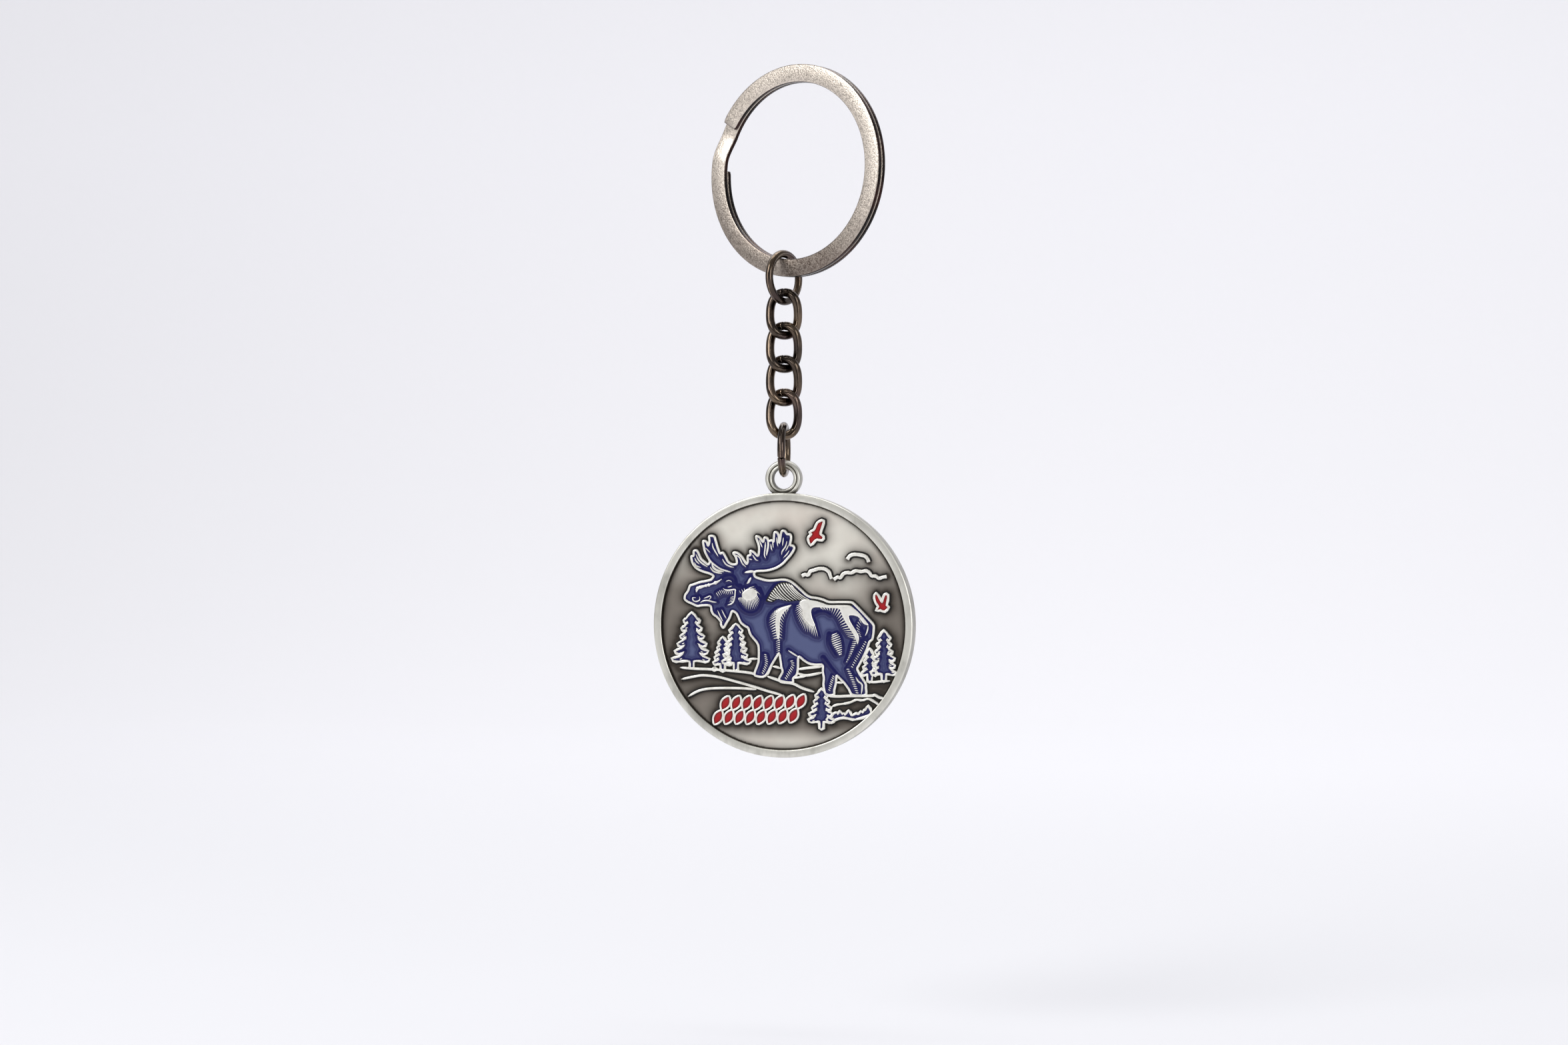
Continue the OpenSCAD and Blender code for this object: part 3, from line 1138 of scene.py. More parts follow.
@dataclass
class Line:
    """One raised line of the artwork."""

    points: Sequence[Point]
    width: float = 1.0
    closed: bool = False
    taper: Taper = Taper.BOTH
    steps: int = 4
    rough: float = 0.0
    outset: float = 0.0

    def path(self) -> np.ndarray:
        """The line's smooth centreline, moved outwards where it rings a pool.

        Returns:
            The centreline's points, in mm.
        """
        path = smooth_path(self.points, self.steps, self.closed)
        if not self.outset:
            return path
        ahead = np.roll(path, -1, axis=0) - np.roll(path, 1, axis=0)
        ahead /= np.linalg.norm(ahead, axis=1)[:, None]
        area = np.sum(path[:, 0] * np.roll(path[:, 1], -1) - np.roll(path[:, 0], -1) * path[:, 1])
        side = np.column_stack([ahead[:, 1], -ahead[:, 0]])
        return path + side * math.copysign(self.outset, area)

    def reach(self, path: np.ndarray, dice: random.Random) -> np.ndarray:
        """The line's share of the nominal width at each point.

        Args:
            path: The centreline.
            dice: Random numbers for a rough line.

        Returns:
            The shares.
        """
        n = len(path)
        share = np.full(n, self.width)
        lengths = lengths_along(path)
        end = min(0.5, lengths[-1] * 0.3)
        if self.taper is Taper.BOTH and not self.closed:
            share *= 0.35 + 0.65 * np.clip(np.minimum(lengths, lengths[-1] - lengths) / end, 0, 1)
        if self.taper is Taper.LAST and not self.closed:
            share *= 0.25 + 0.75 * np.clip((lengths[-1] - lengths) / (lengths[-1] * 0.8), 0, 1)
        if self.rough:
            share *= np.array([1 + self.rough * (dice.random() - 0.5) for _ in range(n)])
        return share


@dataclass
class Hatch:
    """A row of strokes from a root line to a tip line."""

    root: Sequence[Point]
    tip: Sequence[Point]
    count: int
    width: float = 0.62
    bow: float = 0.0
    point: float = 0.22

    def strokes(self) -> list[tuple[np.ndarray, np.ndarray]]:
        """Draws the strokes.

        Returns:
            Every stroke's path and its share of the nominal width.
        """
        roots = along(smooth_path(self.root), self.count)
        tips = along(smooth_path(self.tip), self.count)
        made = []
        for a, b in zip(roots, tips):
            t = np.linspace(0, 1, 6)[:, None]
            side = np.array([-(b - a)[1], (b - a)[0]])
            path = a + (b - a) * t + side * self.bow * t * (1 - t)
            share = self.width * (1 - (1 - self.point) * t[:, 0] ** 1.5)
            made.append((path, share))
        return made


@dataclass
class Rungs:
    """A row of short strokes across a path."""

    path: Sequence[Point]
    count: int
    length: float = 0.5
    lean: float = 20.0
    width: float = 0.55

    def strokes(self) -> list[tuple[np.ndarray, np.ndarray]]:
        """Draws the strokes.

        Returns:
            Every stroke's path and its share of the nominal width.
        """
        middle = along(smooth_path(self.path), self.count)
        ahead = np.gradient(middle, axis=0)
        made = []
        for i, (p, d) in enumerate(zip(middle, ahead)):
            angle = math.atan2(d[1], d[0]) + math.pi / 2 + math.radians(self.lean)
            half = self.length / 2 * (0.75 + 0.25 * math.sin(math.pi * (i + 0.5) / self.count))
            reach = np.array([math.cos(angle), math.sin(angle)]) * half
            t = np.linspace(-1, 1, 5)[:, None]
            made.append((p + reach * t, self.width * (1 - 0.7 * np.abs(t[:, 0]) ** 2)))
        return made


class Moose:
    """The moose: its outline, the lines on it, its bright plateaus and its hatching."""

    nose = [(-14.4, 3.85), (-14.3, 4.3), (-13.9, 4.85), (-13.6, 5.6), (-13.1, 5.8), (-12.1, 6.15),
            (-11.3, 6.3), (-10.5, 6.5), (-10.3, 6.7), (-10.1, 7.05)]
    left_antler = [
        (-10.7, 7.4), (-11.4, 7.6), (-12.1, 7.85), (-12.7, 8.2), (-13.1, 8.7), (-13.3, 9.15),
        (-13.4, 9.85), (-13.05, 9.95), (-13.05, 10.6), (-12.6, 10.7), (-12.3, 10.2), (-11.95, 9.5),
        (-11.3, 8.95), (-10.9, 8.7), (-10.65, 9.15), (-11, 9.8), (-11.4, 10.6), (-11.55, 11.3),
        (-11.65, 12.05), (-11.15, 11.95), (-10.9, 11.4), (-10.7, 12.1), (-10.75, 12.75),
        (-10.05, 12.75), (-9.8, 12.1), (-9.5, 11.1), (-9.15, 10.3), (-8.75, 10.4), (-8.4, 9.9),
        (-7.95, 9.1), (-7.4, 8.75)]
    brow = [
        (-6.8, 8.75), (-6.65, 9.1), (-6.85, 9.85), (-7.2, 10.35), (-6.7, 10.4), (-6.05, 9.95),
        (-5.6, 9.3), (-5.25, 8.8), (-5.05, 9.1), (-5.05, 9.9), (-4.65, 10.1), (-4.7, 10.65),
        (-4.2, 10.5), (-3.6, 9.95)]
    right_antler = [
        (-3.4, 10.5), (-3.45, 11.5), (-3.85, 12.7), (-3.3, 12.6), (-2.8, 11.95), (-2.6, 12.55),
        (-2.2, 12.5), (-2.0, 12.1), (-1.5, 12.2), (-1.25, 12.0), (-1.15, 13.25), (-0.75, 13.3),
        (-0.5, 12.8), (-0.4, 11.8), (-0.1, 13.4), (0.4, 13.5), (0.7, 13.1), (1.2, 13.0), (1.3, 12.4),
        (1.15, 11.55), (1.6, 11.4), (1.75, 11.0), (1.3, 10.2), (0.6, 9.4), (-0.05, 8.75), (-1, 8.2),
        (-2.3, 7.85), (-3.95, 7.7)]
    back = [
        (-4.0, 7.0), (-3, 6.6), (-2, 6.4), (-1, 6.45), (0, 6.55), (0.8, 6.45), (1.6, 6.05), (2.6, 5.2),
        (3.5, 4.4), (4.2, 4.05), (5, 3.95), (6, 3.7), (6.9, 3.38), (8.5, 3.38), (10, 3.35),
        (10.55, 3.05), (11.7, 1.9), (12.7, 0.85), (13.2, 0.3), (13.35, -0.25), (13.15, -1.8),
        (12.7, -2.3), (12.3, -3.4), (11.8, -4.5), (11.2, -5.6), (10.95, -6.1), (11.2, -6.7),
        (11.7, -7.5), (12.15, -8.2), (12.2, -8.8), (12.1, -9.85)]
    hind = [
        (10.3, -9.85), (9.7, -9), (9.1, -8.2), (8.5, -7.6), (7.95, -7.15), (7.85, -8.2), (7.6, -9.2),
        (7.5, -9.85), (6.4, -9.8), (6.05, -8.6), (6.1, -7.5), (5.95, -6.6), (5.9, -5.65)]
    belly = [(5, -5.6), (4, -5.45), (3.2, -5.0), (2.4, -4.5)]
    fore = [
        (2.3, -6.2), (2.1, -7.1), (1.6, -7.6), (1.45, -8.2), (-0.4, -7.85), (0.05, -6.7), (-0.1, -6),
        (-0.25, -5), (-0.5, -4.1), (-1.5, -5.6), (-2.5, -7.3), (-3.8, -7.3), (-4.05, -6.9),
        (-3.6, -5.7), (-3.45, -5), (-3.45, -3.2)]
    chest = [
        (-3.7, -2.5), (-4.3, -1.8), (-4.7, -1.25), (-5, -0.4), (-5.35, -0.2), (-6.05, 0.35),
        (-6.4, 1.05), (-6.7, 1.65), (-7.1, 1.95), (-7.4, 1.95)]
    bell = [
        (-7.65, 1.3), (-7.85, 0.85), (-8.2, 0.3), (-8.65, -0.42), (-9.0, 0.05), (-9.05, 0.5),
        (-9.6, 1.15), (-10.1, 1.5), (-10.4, 2.0), (-10.6, 2.75)]
    jaw = [(-11.8, 2.8), (-12.5, 2.7), (-13.2, 3.0), (-13.9, 3.3), (-14.3, 3.6)]

    cross_lines = [
        Line([(-3.95, 7.7), (-4.6, 7.7), (-5.5, 7.55)], 1.2),
        Line([(0.9, -3.6), (1.7, -4.1), (2.4, -4.5)], 0.8),
        Line([(10.75, -7.3), (11.1, -7.9), (11.6, -8.3), (11.65, -8.9), (11.55, -9.7)], 0.8),
        Line([(-12.95, 9), (-12.65, 8.5), (-11.95, 8.25)], 0.7),
        Line([(-12.9, 9.65), (-12.65, 9.15), (-12.2, 8.75)], 0.7),
        Line([(-12.7, 10.15), (-12.35, 9.4), (-11.8, 8.85), (-11, 8.35)], 0.8),
        Line([(-11.3, 10.5), (-11, 9.85), (-10.57, 9.2), (-9.85, 8.57), (-8.93, 8), (-7.5, 7.6)], 0.8),
        Line([(-10.35, 8.85), (-10.15, 8.3), (-9.55, 7.85), (-8.6, 7.65)], 1.1),
        Line([(-10.6, 8.35), (-10.3, 7.9), (-9.85, 7.6), (-8.85, 7.4)], 0.8),
        Line([(-11.3, 11.1), (-10.6, 10.4)], 0.6),
        Line([(-10.3, 11.8), (-10.15, 11.1), (-9.4, 9.85)], 0.7),
        Line([(-8.8, 9.5), (-8.3, 8.75), (-7.6, 8.4), (-7.1, 8.3)], 0.7),
        Line([(-6.95, 10.1), (-6.3, 9.75), (-5.85, 8.85), (-5.3, 8.35)], 0.7),
        Line([(-4.85, 9.5), (-4.4, 9.4)], 0.6),
        Line([(-4.35, 10.1), (-3.85, 9.4), (-3.5, 9.3)], 0.7),
        Line([(-3.4, 12.3), (-2.9, 11.15)], 0.7),
        Line([(-2.45, 11.95), (-2.5, 11.1), (-2.6, 10.1), (-2.4, 9.6)], 0.7),
        Line([(-2.15, 12.3), (-2.05, 11.5), (-2.3, 10)], 1.0),
        Line([(-1.65, 11.7), (-1.6, 11.1), (-1.45, 10.7)], 0.6),
        Line([(-1.4, 12.1), (-1.3, 11.1)], 0.6),
        Line([(-0.8, 12.6), (-0.7, 11.75), (-0.6, 11.3)], 0.6),
        Line([(0.2, 12.6), (0.05, 11.4)], 0.6),
        Line([(0.7, 12.1), (0.5, 11.3), (0, 10.6), (-0.05, 10.1)], 0.7),
        Line([(1, 11.6), (0.7, 11), (0.5, 10.65)], 0.6),
        Line([(1.05, 10.75), (0.7, 10.2), (0.15, 9.65)], 0.6),
        Line([(-12.65, 4.7), (-12.55, 5.15), (-12.3, 5.35), (-11.4, 5.6), (-10.6, 5.8), (-9.6, 6.15),
              (-8.9, 6.6)], 1.3, rough=0.9),
        Line([(-12.7, 3.9), (-13.2, 3.85), (-13.05, 3.45), (-12.6, 3.35), (-12.15, 3.6),
              (-12.2, 4.05)], 0.6),
        Line([(-12.05, 3.2), (-11.6, 3.45), (-10.95, 3.5), (-10.15, 3.3), (-9.65, 3.25)], 0.7),
        Line([(-11.55, 3.8), (-11, 4), (-10.65, 4.15), (-10.5, 3.95), (-10.85, 3.55)], 0.55),
        Line([(-8.3, 6.25), (-7.8, 6.4), (-7.4, 6.2)], 0.45),
        Line([(-8.05, 5.45), (-7.7, 5.5), (-7.35, 5.65)], 0.45),
        Line([(-8.7, 5.25), (-8.35, 5.05), (-7.8, 5), (-6.95, 5.1), (-6.9, 4.8), (-6.95, 4.2),
              (-7.05, 3.7), (-7.2, 3.3), (-7.55, 3), (-8.05, 2.85)], 0.7),
        Line([(-5.2, 6), (-5, 6.1), (-4.8, 6.45), (-4.55, 6.85)], 1.1),
        Line([(12.5, 0.1), (12.5, -0.3), (12.35, -0.9), (12.1, -1.4)], 0.7),
        Line([(-2.1, -7.2), (-1.8, -6.5), (-1.5, -5.9)], 0.6),
        Line([(-9.5, 2.1), (-9.1, 1.2), (-8.7, 0.5)], 0.6),
        Line([(-8.9, 2.2), (-8.5, 1.4), (-8.2, 0.9)], 0.55),
    ]
    grooves = [
        Line([(-8.4, 6.9), (-7.8, 7.05), (-7.35, 6.95), (-7, 6.55), (-6.9, 6.1), (-6.85, 5.65),
              (-6.4, 5.4)]),
        Line([(6, -4.6), (6.6, -5.4), (7.3, -6.3), (7.9, -7.0)]),
        Line([(-6.2, 5.6), (-6.6, 4.6), (-6.6, 3.6), (-6.2, 2.6), (-5.4, 1.9), (-4.4, 1.7), (-3.5, 2.2),
              (-3.1, 3.1), (-3.0, 4.2), (-3.4, 5.2)]),
        Line([(4.9, 1.6), (5.4, 1.9), (6.3, 1.9), (7.0, 1.5)]),
        Line([(11.1, 0.2), (11.4, -0.5), (11.9, -1.4), (11.6, -2.4), (10.9, -3.6), (10.2, -4.8),
              (9.6, -5.8)]),
        Line([(12.2, -1.6), (11.9, -2.4), (11.3, -3.6), (10.6, -4.9)]),
        Line([(6.9, -1.2), (6.8, -2.3), (7.1, -3.2), (7.8, -4.3)]),
    ]
    ruff = [(-5.9, 4.5), (-5.6, 4.9), (-5.0, 5.25), (-4.3, 5.2), (-3.8, 4.9), (-3.7, 4.4), (-4.0, 3.9),
            (-4.6, 3.55), (-5.3, 3.6), (-5.8, 3.95)]
    spine = [(1.35, 2.95), (0.6, 2.75), (-0.3, 2.3), (-0.85, 1.5), (-1.0, 0.4), (-0.9, -0.8),
             (-0.7, -1.9), (-0.45, -1.9), (-0.35, -0.8), (-0.35, 0.3), (-0.1, 1.3), (0.4, 2.0),
             (1.1, 2.6)]
    haunch = [
        (2.5, 3.25), (3.2, 3.75), (4, 3.65), (5, 3.5), (6, 3.2), (6.8, 2.95), (8.5, 2.95), (9.8, 2.9),
        (10.4, 2.55), (11.3, 1.75), (12.4, 0.45), (12.55, 0.1), (11.95, 0.25), (11.5, 0.75),
        (11.2, 1.15), (10.9, 1.35), (10.3, 1.5), (9.75, 1.4), (9.9, 0.75), (10.3, 0.05), (10.75, -0.65),
        (11.1, -1.25), (11.2, -1.9), (11.0, -2.6), (10.7, -1.8), (10.2, -0.95), (9.6, -0.05),
        (9.0, 0.95), (8.6, 1.9), (8.3, 2.4), (7, 2.5), (5.6, 2.6), (4.6, 2.55), (4.25, 2.05),
        (4.4, 1.15), (4.75, 0.3), (4.8, -0.1), (4.4, -0.1), (3.8, 0.3), (3.3, 0.95), (2.95, 1.7),
        (2.9, 2.4)]
    hump_base = [
        (-2.35, 3.45), (-2.1, 4.1), (-1.6, 4.9), (-1, 5.65), (-0.4, 6.1), (0.6, 6.25), (1.4, 5.9),
        (2.3, 5.1), (3.3, 4.2), (4.1, 3.65), (3.2, 3.45), (2.2, 3.55), (1.0, 3.4), (0.1, 3.55),
        (-0.7, 3.7), (-1.4, 3.3)]

    back_strip = [
        (4.2, 3.86), (5, 3.78), (6, 3.52), (6.9, 3.22), (8.5, 3.22), (9.9, 3.2), (10.3, 2.95),
        (9.9, 2.8), (8.5, 2.88), (6.8, 2.88), (6, 3.1), (5, 3.42), (4.3, 3.56)]

    @property
    def outline(self) -> list[Point]:
        """The whole outline, clockwise from the nose."""
        return (self.nose + self.left_antler + self.brow + self.right_antler + self.back + self.hind
                + self.belly + self.fore + self.chest + self.bell + self.jaw)

    @property
    def hatches(self) -> list[Hatch | Rungs]:
        """The hatching.

        Returns:
            Every row of strokes.
        """
        lobe = [(3.0, 3.1), (2.9, 2.4), (2.95, 1.7), (3.3, 1), (3.8, 0.3), (4.4, -0.1), (4.8, -0.1)]
        lobe_tips = [(2.0, 2.75), (1.9, 2.1), (2.1, 1.4), (2.35, 0.7), (2.75, 0), (3.35, -0.8),
                     (4.1, -1.05), (4.7, -1.5), (5.25, -1.6)]
        flank = [(5.6, 2.6), (7, 2.5), (8.3, 2.4), (8.6, 1.9), (9.0, 0.95), (9.6, -0.05), (10.2, -0.95),
                 (10.7, -1.8)]
        flank_tips = [(6.1, 2.25), (6.9, 2.15), (7.35, 1.75), (7.85, 1.2), (8.25, 0.55), (8.55, -0.15),
                      (9, -0.85), (9.5, -1.5)]
        thigh = [(11.1, -1.9), (10.6, -2.9), (10.2, -3.9), (9.5, -5.1)]
        thigh_tips = [(10.3, -2.0), (9.95, -3.1), (9.7, -4.1), (9.3, -5.2)]
        return [
            Hatch([(-6.4, 3.9), (-5.9, 4.0), (-5.2, 3.7), (-4.6, 3.6), (-4.1, 3.9), (-3.8, 4.4)],
                  [(-6.4, 3.5), (-5.75, 2.8), (-5.1, 2.2), (-4.25, 2.2), (-3.65, 2.6), (-3.3, 3.5)],
                  16, 0.55),
            Hatch([(-4.9, 5.3), (-3.9, 4.9)], [(-4.0, 5.6), (-3.2, 4.4)], 5, 0.5),
            Hatch([(-6.1, 4.6), (-5.5, 5.0)], [(-6.3, 5.0), (-5.6, 5.35)], 3, 0.5),
            Hatch([(-2.1, 3.7), (-1.7, 4.5), (-1, 5.45), (-0.4, 5.9), (0.6, 6.05), (1.3, 5.8)],
                  [(-1.45, 3.45), (-0.6, 3.8), (0.9, 3.5), (2.2, 3.65), (3.3, 3.6), (4.0, 3.65)],
                  13, 0.84, bow=-0.25, point=0.5),
            Hatch([(0.9, 2.8), (-0.2, 2.25), (-0.8, 1.4), (-0.95, 0.3), (-0.85, -0.8), (-0.65, -1.8)],
                  [(-0.9, 2.3), (-1.6, 1.6), (-1.95, 0.8), (-1.9, 0), (-1.65, -0.8), (-1.3, -1.9)],
                  15, 0.6),
            Hatch([(0.9, 2.4), (0.1, 1.7), (-0.3, 0.9), (-0.35, 0), (-0.4, -1.7)],
                  [(0.75, 1.9), (0.4, 1.1), (0.2, 0.4), (0.1, -0.5), (0, -1.9)], 11, 0.5),
            Hatch([(-0.3, -2.1), (-0.35, -3.9)], [(-0.95, -2.35), (-0.85, -4.05)], 7, 0.5),
            Hatch(lobe, lobe_tips, 19, 0.58),
            Hatch(flank, flank_tips, 18, 0.58),
            Hatch(thigh, thigh_tips, 12, 0.55),
            Hatch([(11.25, 0.9), (10.9, 0.2), (10.9, -0.5), (11.3, -1.4)],
                  [(11.6, 0.3), (11.4, -0.3), (11.4, -0.9), (11.6, -1.6)], 7, 0.45),
            Hatch([(7.25, -1.4), (7.2, -1.9), (7.35, -2.6), (7.9, -3.5), (8.3, -4.15)],
                  [(8.0, -1.05), (8.4, -1.5), (8.6, -2.2), (8.75, -3.1), (8.7, -4.0)],
                  11, 0.62, point=0.6),
            Hatch([(-9.7, 4.6), (-9.1, 5.0), (-8.4, 4.95), (-7.4, 4.9)],
                  [(-9.3, 4.0), (-8.7, 4.35), (-8.0, 4.3), (-7.2, 4.3)], 9, 0.45),
            Hatch([(-7.1, 4.1), (-7.2, 3.4)], [(-7.7, 3.9), (-7.9, 3.3)], 4, 0.4),
            Rungs([(12.15, -2.3), (11.45, -3.6), (10.85, -4.65), (10.2, -5.85)], 13, 0.45, -12),
            Rungs([(9.6, -6.2), (10.05, -7.15), (10.5, -8.3), (10.95, -9.55)], 12, 0.62, -25),
            Rungs([(7.5, -7.25), (7.25, -8.0), (6.9, -9.2)], 8, 0.5, -20),
            Rungs([(-2.45, -4.25), (-2.3, -5.5), (-2.85, -6.9)], 10, 0.55, -25),
            Rungs([(1.4, -5.1), (1.6, -5.7), (1.1, -6.7), (0.55, -7.6)], 10, 0.6, -20),
        ]


@dataclass
class Spruce:
    """A spruce with ragged tiers of boughs."""

    x: float
    base: float
    half_w: float
    height: float
    tiers: int
    trunk: float = 0.95

    def outline(self, dice: random.Random) -> list[Point]:
        """The tree's outline, clockwise from the top.

        Args:
            dice: Random numbers for the boughs.

        Returns:
            The outline's points.
        """
        tier = self.height / self.tiers
        sides = {}
        for sign in (-1, 1):
            rows = []
            for i in range(1, self.tiers + 1):
                w = self.half_w * (0.3 + 0.7 * i / self.tiers) * (0.9 + 0.16 * dice.random())
                level = self.base + self.height - i * tier
                rows += [
                    (sign * w * 0.62, level + tier * (0.42 + 0.1 * dice.random())),
                    (sign * w, level + tier * (0.12 + 0.1 * dice.random())),
                    (sign * w * 0.78, level - tier * 0.06),
                    (sign * w * 0.46, level + tier * (0.02 + 0.06 * dice.random())),
                ]
            rows += [(sign * 0.22, self.base - 0.02), (sign * 0.18, self.base - self.trunk)]
            sides[sign] = rows
        right = [(self.x + dx, y) for dx, y in sides[1]]
        left = [(self.x + dx, y) for dx, y in sides[-1]]
        return [(self.x, self.base + self.height + 0.15)] + right + left[::-1]

    def flecks(self, dice: random.Random) -> list[Line]:
        """Short raised flecks on the boughs.

        Args:
            dice: Random numbers for the flecks.

        Returns:
            The flecks.
        """
        made = []
        for i in range(1, self.tiers + 1):
            w = self.half_w * (0.3 + 0.7 * i / self.tiers)
            level = self.base + self.height * (1 - i / self.tiers)
            for sign in (-1, 1) if w > 1.2 else ():
                x = self.x + sign * w * (0.4 + 0.2 * dice.random())
                y = level + self.height / self.tiers * (0.12 + 0.25 * dice.random())
                made.append(Line([(x, y), (x + sign * 0.16, y - 0.12), (x + sign * 0.4, y - 0.16)], 0.5))
        return made


@dataclass
class Leaf:
    """One slender leaf of the sprig."""

    foot: Point
    lean: float
    length: float = 2.1
    half_w: float = 0.55
    gap: float = 0.12

    def outline(self) -> list[Point]:
        """Draws the leaf.

        Returns:
            Its outline's points.
        """
        turn = math.radians(self.lean)
        along_leaf = [i / 8 for i in range(9)]
        half = [
            (self.gap + self.length * t, self.half_w * math.sin(math.pi * t) ** 0.8) for t in along_leaf]
        flat = half + [(u, -v) for u, v in half[-2:0:-1]]
        return [(self.foot[0] + u * math.cos(turn) - v * math.sin(turn),
                 self.foot[1] + u * math.sin(turn) + v * math.cos(turn)) for u, v in flat]


@dataclass
class Landscape:
    """Everything on the field besides the moose."""

    left_trees: list[Spruce] = field(default_factory=lambda: [Spruce(-13.35, -5.2, 2.75, 6.7, 6)])
    middle_trees: list[Spruce] = field(default_factory=lambda: [
        Spruce(-6.8, -5.4, 2.0, 5.3, 6), Spruce(-8.75, -5.6, 1.35, 3.6, 5)])
    right_trees: list[Spruce] = field(default_factory=lambda: [
        Spruce(14.8, -6.8, 1.85, 5.9, 6), Spruce(12.75, -6.9, 1.05, 3.4, 4)])
    front_trees: list[Spruce] = field(default_factory=lambda: [Spruce(5.75, -13.7, 1.9, 4.4, 5)])

    shrubs = [
        (6.6, -13.4), (7.2, -13), (7.5, -12.75), (7.9, -12.5), (8.2, -12.7), (8.4, -12.3), (8.7, -12.7),
        (9, -12.6), (9.3, -12.8), (9.7, -12.2), (10, -12.8), (10.3, -12.9), (10.8, -12.6),
        (11.2, -12.7), (11.5, -12.3), (11.8, -12.5), (12, -12.1), (12.3, -12.0), (12.5, -11.5),
        (12.85, -12.3), (12.2, -12.8), (11, -13.15), (10.3, -13.25), (9, -13.0), (7.8, -13.3),
        (7.2, -13.75)]
    upper_bird = [
        (6.0, 14.95), (5.55, 14.85), (5.2, 14.6), (4.95, 14.1), (4.7, 13.6), (4.1, 13.3), (4.4, 13.05),
        (3.95, 12.6), (3.9, 12.3), (4.2, 11.6), (4.65, 12.1), (5.1, 12.4), (5.8, 12.3), (5.95, 12.7),
        (5.5, 13.05), (5.6, 13.6), (5.8, 14.2)]
    lower_bird = [
        (13.65, 4.6), (13.5, 4.0), (13.75, 3.3), (14.1, 2.75), (13.75, 2.25), (14.3, 2.35),
        (14.9, 2.15), (15.4, 2.7), (15.1, 2.95), (15.25, 3.6), (15.3, 4.4), (14.95, 4.4), (14.75, 3.8),
        (14.5, 3.3), (14.15, 3.9)]
    stem = [(-8.9, -12.3), (-6.2, -12.2), (-3.4, -12.2), (-0.6, -12.1), (2.2, -11.9)]
    pairs = 8
    lean = 62.0
    clouds = [
        Line([(9.5, 9.5), (9.9, 10.0), (10.6, 10.2), (11.9, 10.0), (12.4, 9.6), (12.6, 9.1)],
             1.7, taper=Taper.NONE, rough=0.16),
        Line([(2.9, 7.1), (3.3, 7.3), (3.8, 7.25), (4.1, 7.75), (4.7, 7.95), (5.4, 8.15), (6.2, 8.1),
              (6.8, 7.7), (7.0, 7.2), (7.2, 6.7)], 1.65, taper=Taper.NONE, rough=0.2),
        Line([(7.55, 6.6), (8.1, 6.95), (8.5, 6.85), (8.9, 7.4), (9.5, 7.6), (10.1, 7.55), (10.7, 7.85),
              (11.5, 7.75), (12.2, 7.85), (12.7, 7.6), (13.0, 7.15), (13.6, 7.1), (14.1, 6.8),
              (14.6, 6.95), (15.2, 7.05)], 1.65, taper=Taper.NONE, rough=0.2),
    ]
    ground = [
        Line([(-15.1, -6.2), (-13, -6.35), (-11, -6.4), (-9, -6.5), (-7, -6.65), (-5.3, -6.8),
              (-4.2, -7), (-3.9, -7.35)], 1.25),
        Line([(-2.2, -7.35), (-0.5, -7.9), (0, -8.15), (1.6, -8.35), (3, -9), (4.7, -9.5)], 1.3),
        Line([(-14.9, -7.9), (-12.8, -7.45), (-11.5, -7.3), (-9.5, -7.5), (-7, -8.1), (-4, -8.9),
              (-2, -9.5), (0, -10.0)], 1.2),
        Line([(-13.9, -10.4), (-12.2, -9.5), (-10, -9.15), (-6, -9.1), (-3.8, -9.25)], 1.2),
        Line([(-5, -4.9), (-4.3, -4.85), (-3.6, -4.85)], 1.2),
        Line([(-1.4, -5.9), (-0.8, -6.0), (-0.2, -6.2)], 1.2),
        Line([(2.3, -6.3), (3.5, -6.1), (5.9, -5.85)], 1.3),
        Line([(2.2, -6.8), (3, -7.1), (4, -7.1), (5.9, -6.7)], 1.3),
        Line([(1.7, -7.6), (2.6, -7.4), (3.5, -7.3)], 1.1),
        Line([(7.9, -8.1), (8.9, -8.15)], 1.2),
        Line([(6.5, -10), (8, -10.1), (10, -10), (12.9, -9.95), (13.5, -9.85), (14.2, -10.2),
              (15.0, -10.3)], 1.35),
        Line([(7.2, -11.6), (7.9, -11.3), (8.5, -11.2), (9.2, -11.1), (10, -10.9), (10.8, -10.55),
              (11.7, -10.6), (12.6, -10.4), (13.6, -10.9), (14.3, -11.4)], 1.1, rough=0.4),
        Line([(12.3, -7.9), (13.3, -8.0), (14.3, -7.9), (15.7, -7.8)], 1.2),
        Line([(-10.5, -6.4), (-10, -6.1), (-9.5, -6.4), (-10, -6.7), (-10.5, -6.4)], 0.5),
    ]

    def leaves(self) -> list[Leaf]:
        """Every leaf of the sprig."""
        feet = along(smooth_path(self.stem), self.pairs)
        return [Leaf((float(x), float(y)), self.lean + half) for x, y in feet for half in (0, 180)]


@dataclass(frozen=True)
class Motif:
    """How one kind of enamelled shape is made: its border, its pool and its colour."""

    border_w: float
    rough: float
    outset: float
    steps: int
    spacing: float
    red: bool


ANIMAL = Motif(1.12, 0.0, 0.0, 4, 0.17, red=False)
TREE = Motif(1.2, 0.6, 0.135, 2, 0.15, red=False)
BIRD = Motif(1.25, 0.25, 0.12, 2, 0.15, red=True)
LEAF = Motif(0.95, 0.0, 0.12, 2, 0.15, red=True)


@dataclass(frozen=True)
class Inlay:
    """The pools of enamel that stand in for one CAD node."""

    node: str
    motif: Motif
    outlines: list[list[Point]]

    @property
    def name(self) -> str:
        """The piece's name."""
        return self.node.replace("_enamel", "_pool")

    def borders(self) -> list[Line]:
        """The raised border of every pool."""
        kind = self.motif
        return [Line(outline, kind.border_w, closed=True, steps=kind.steps, rough=kind.rough,
                     outset=kind.outset) for outline in self.outlines]


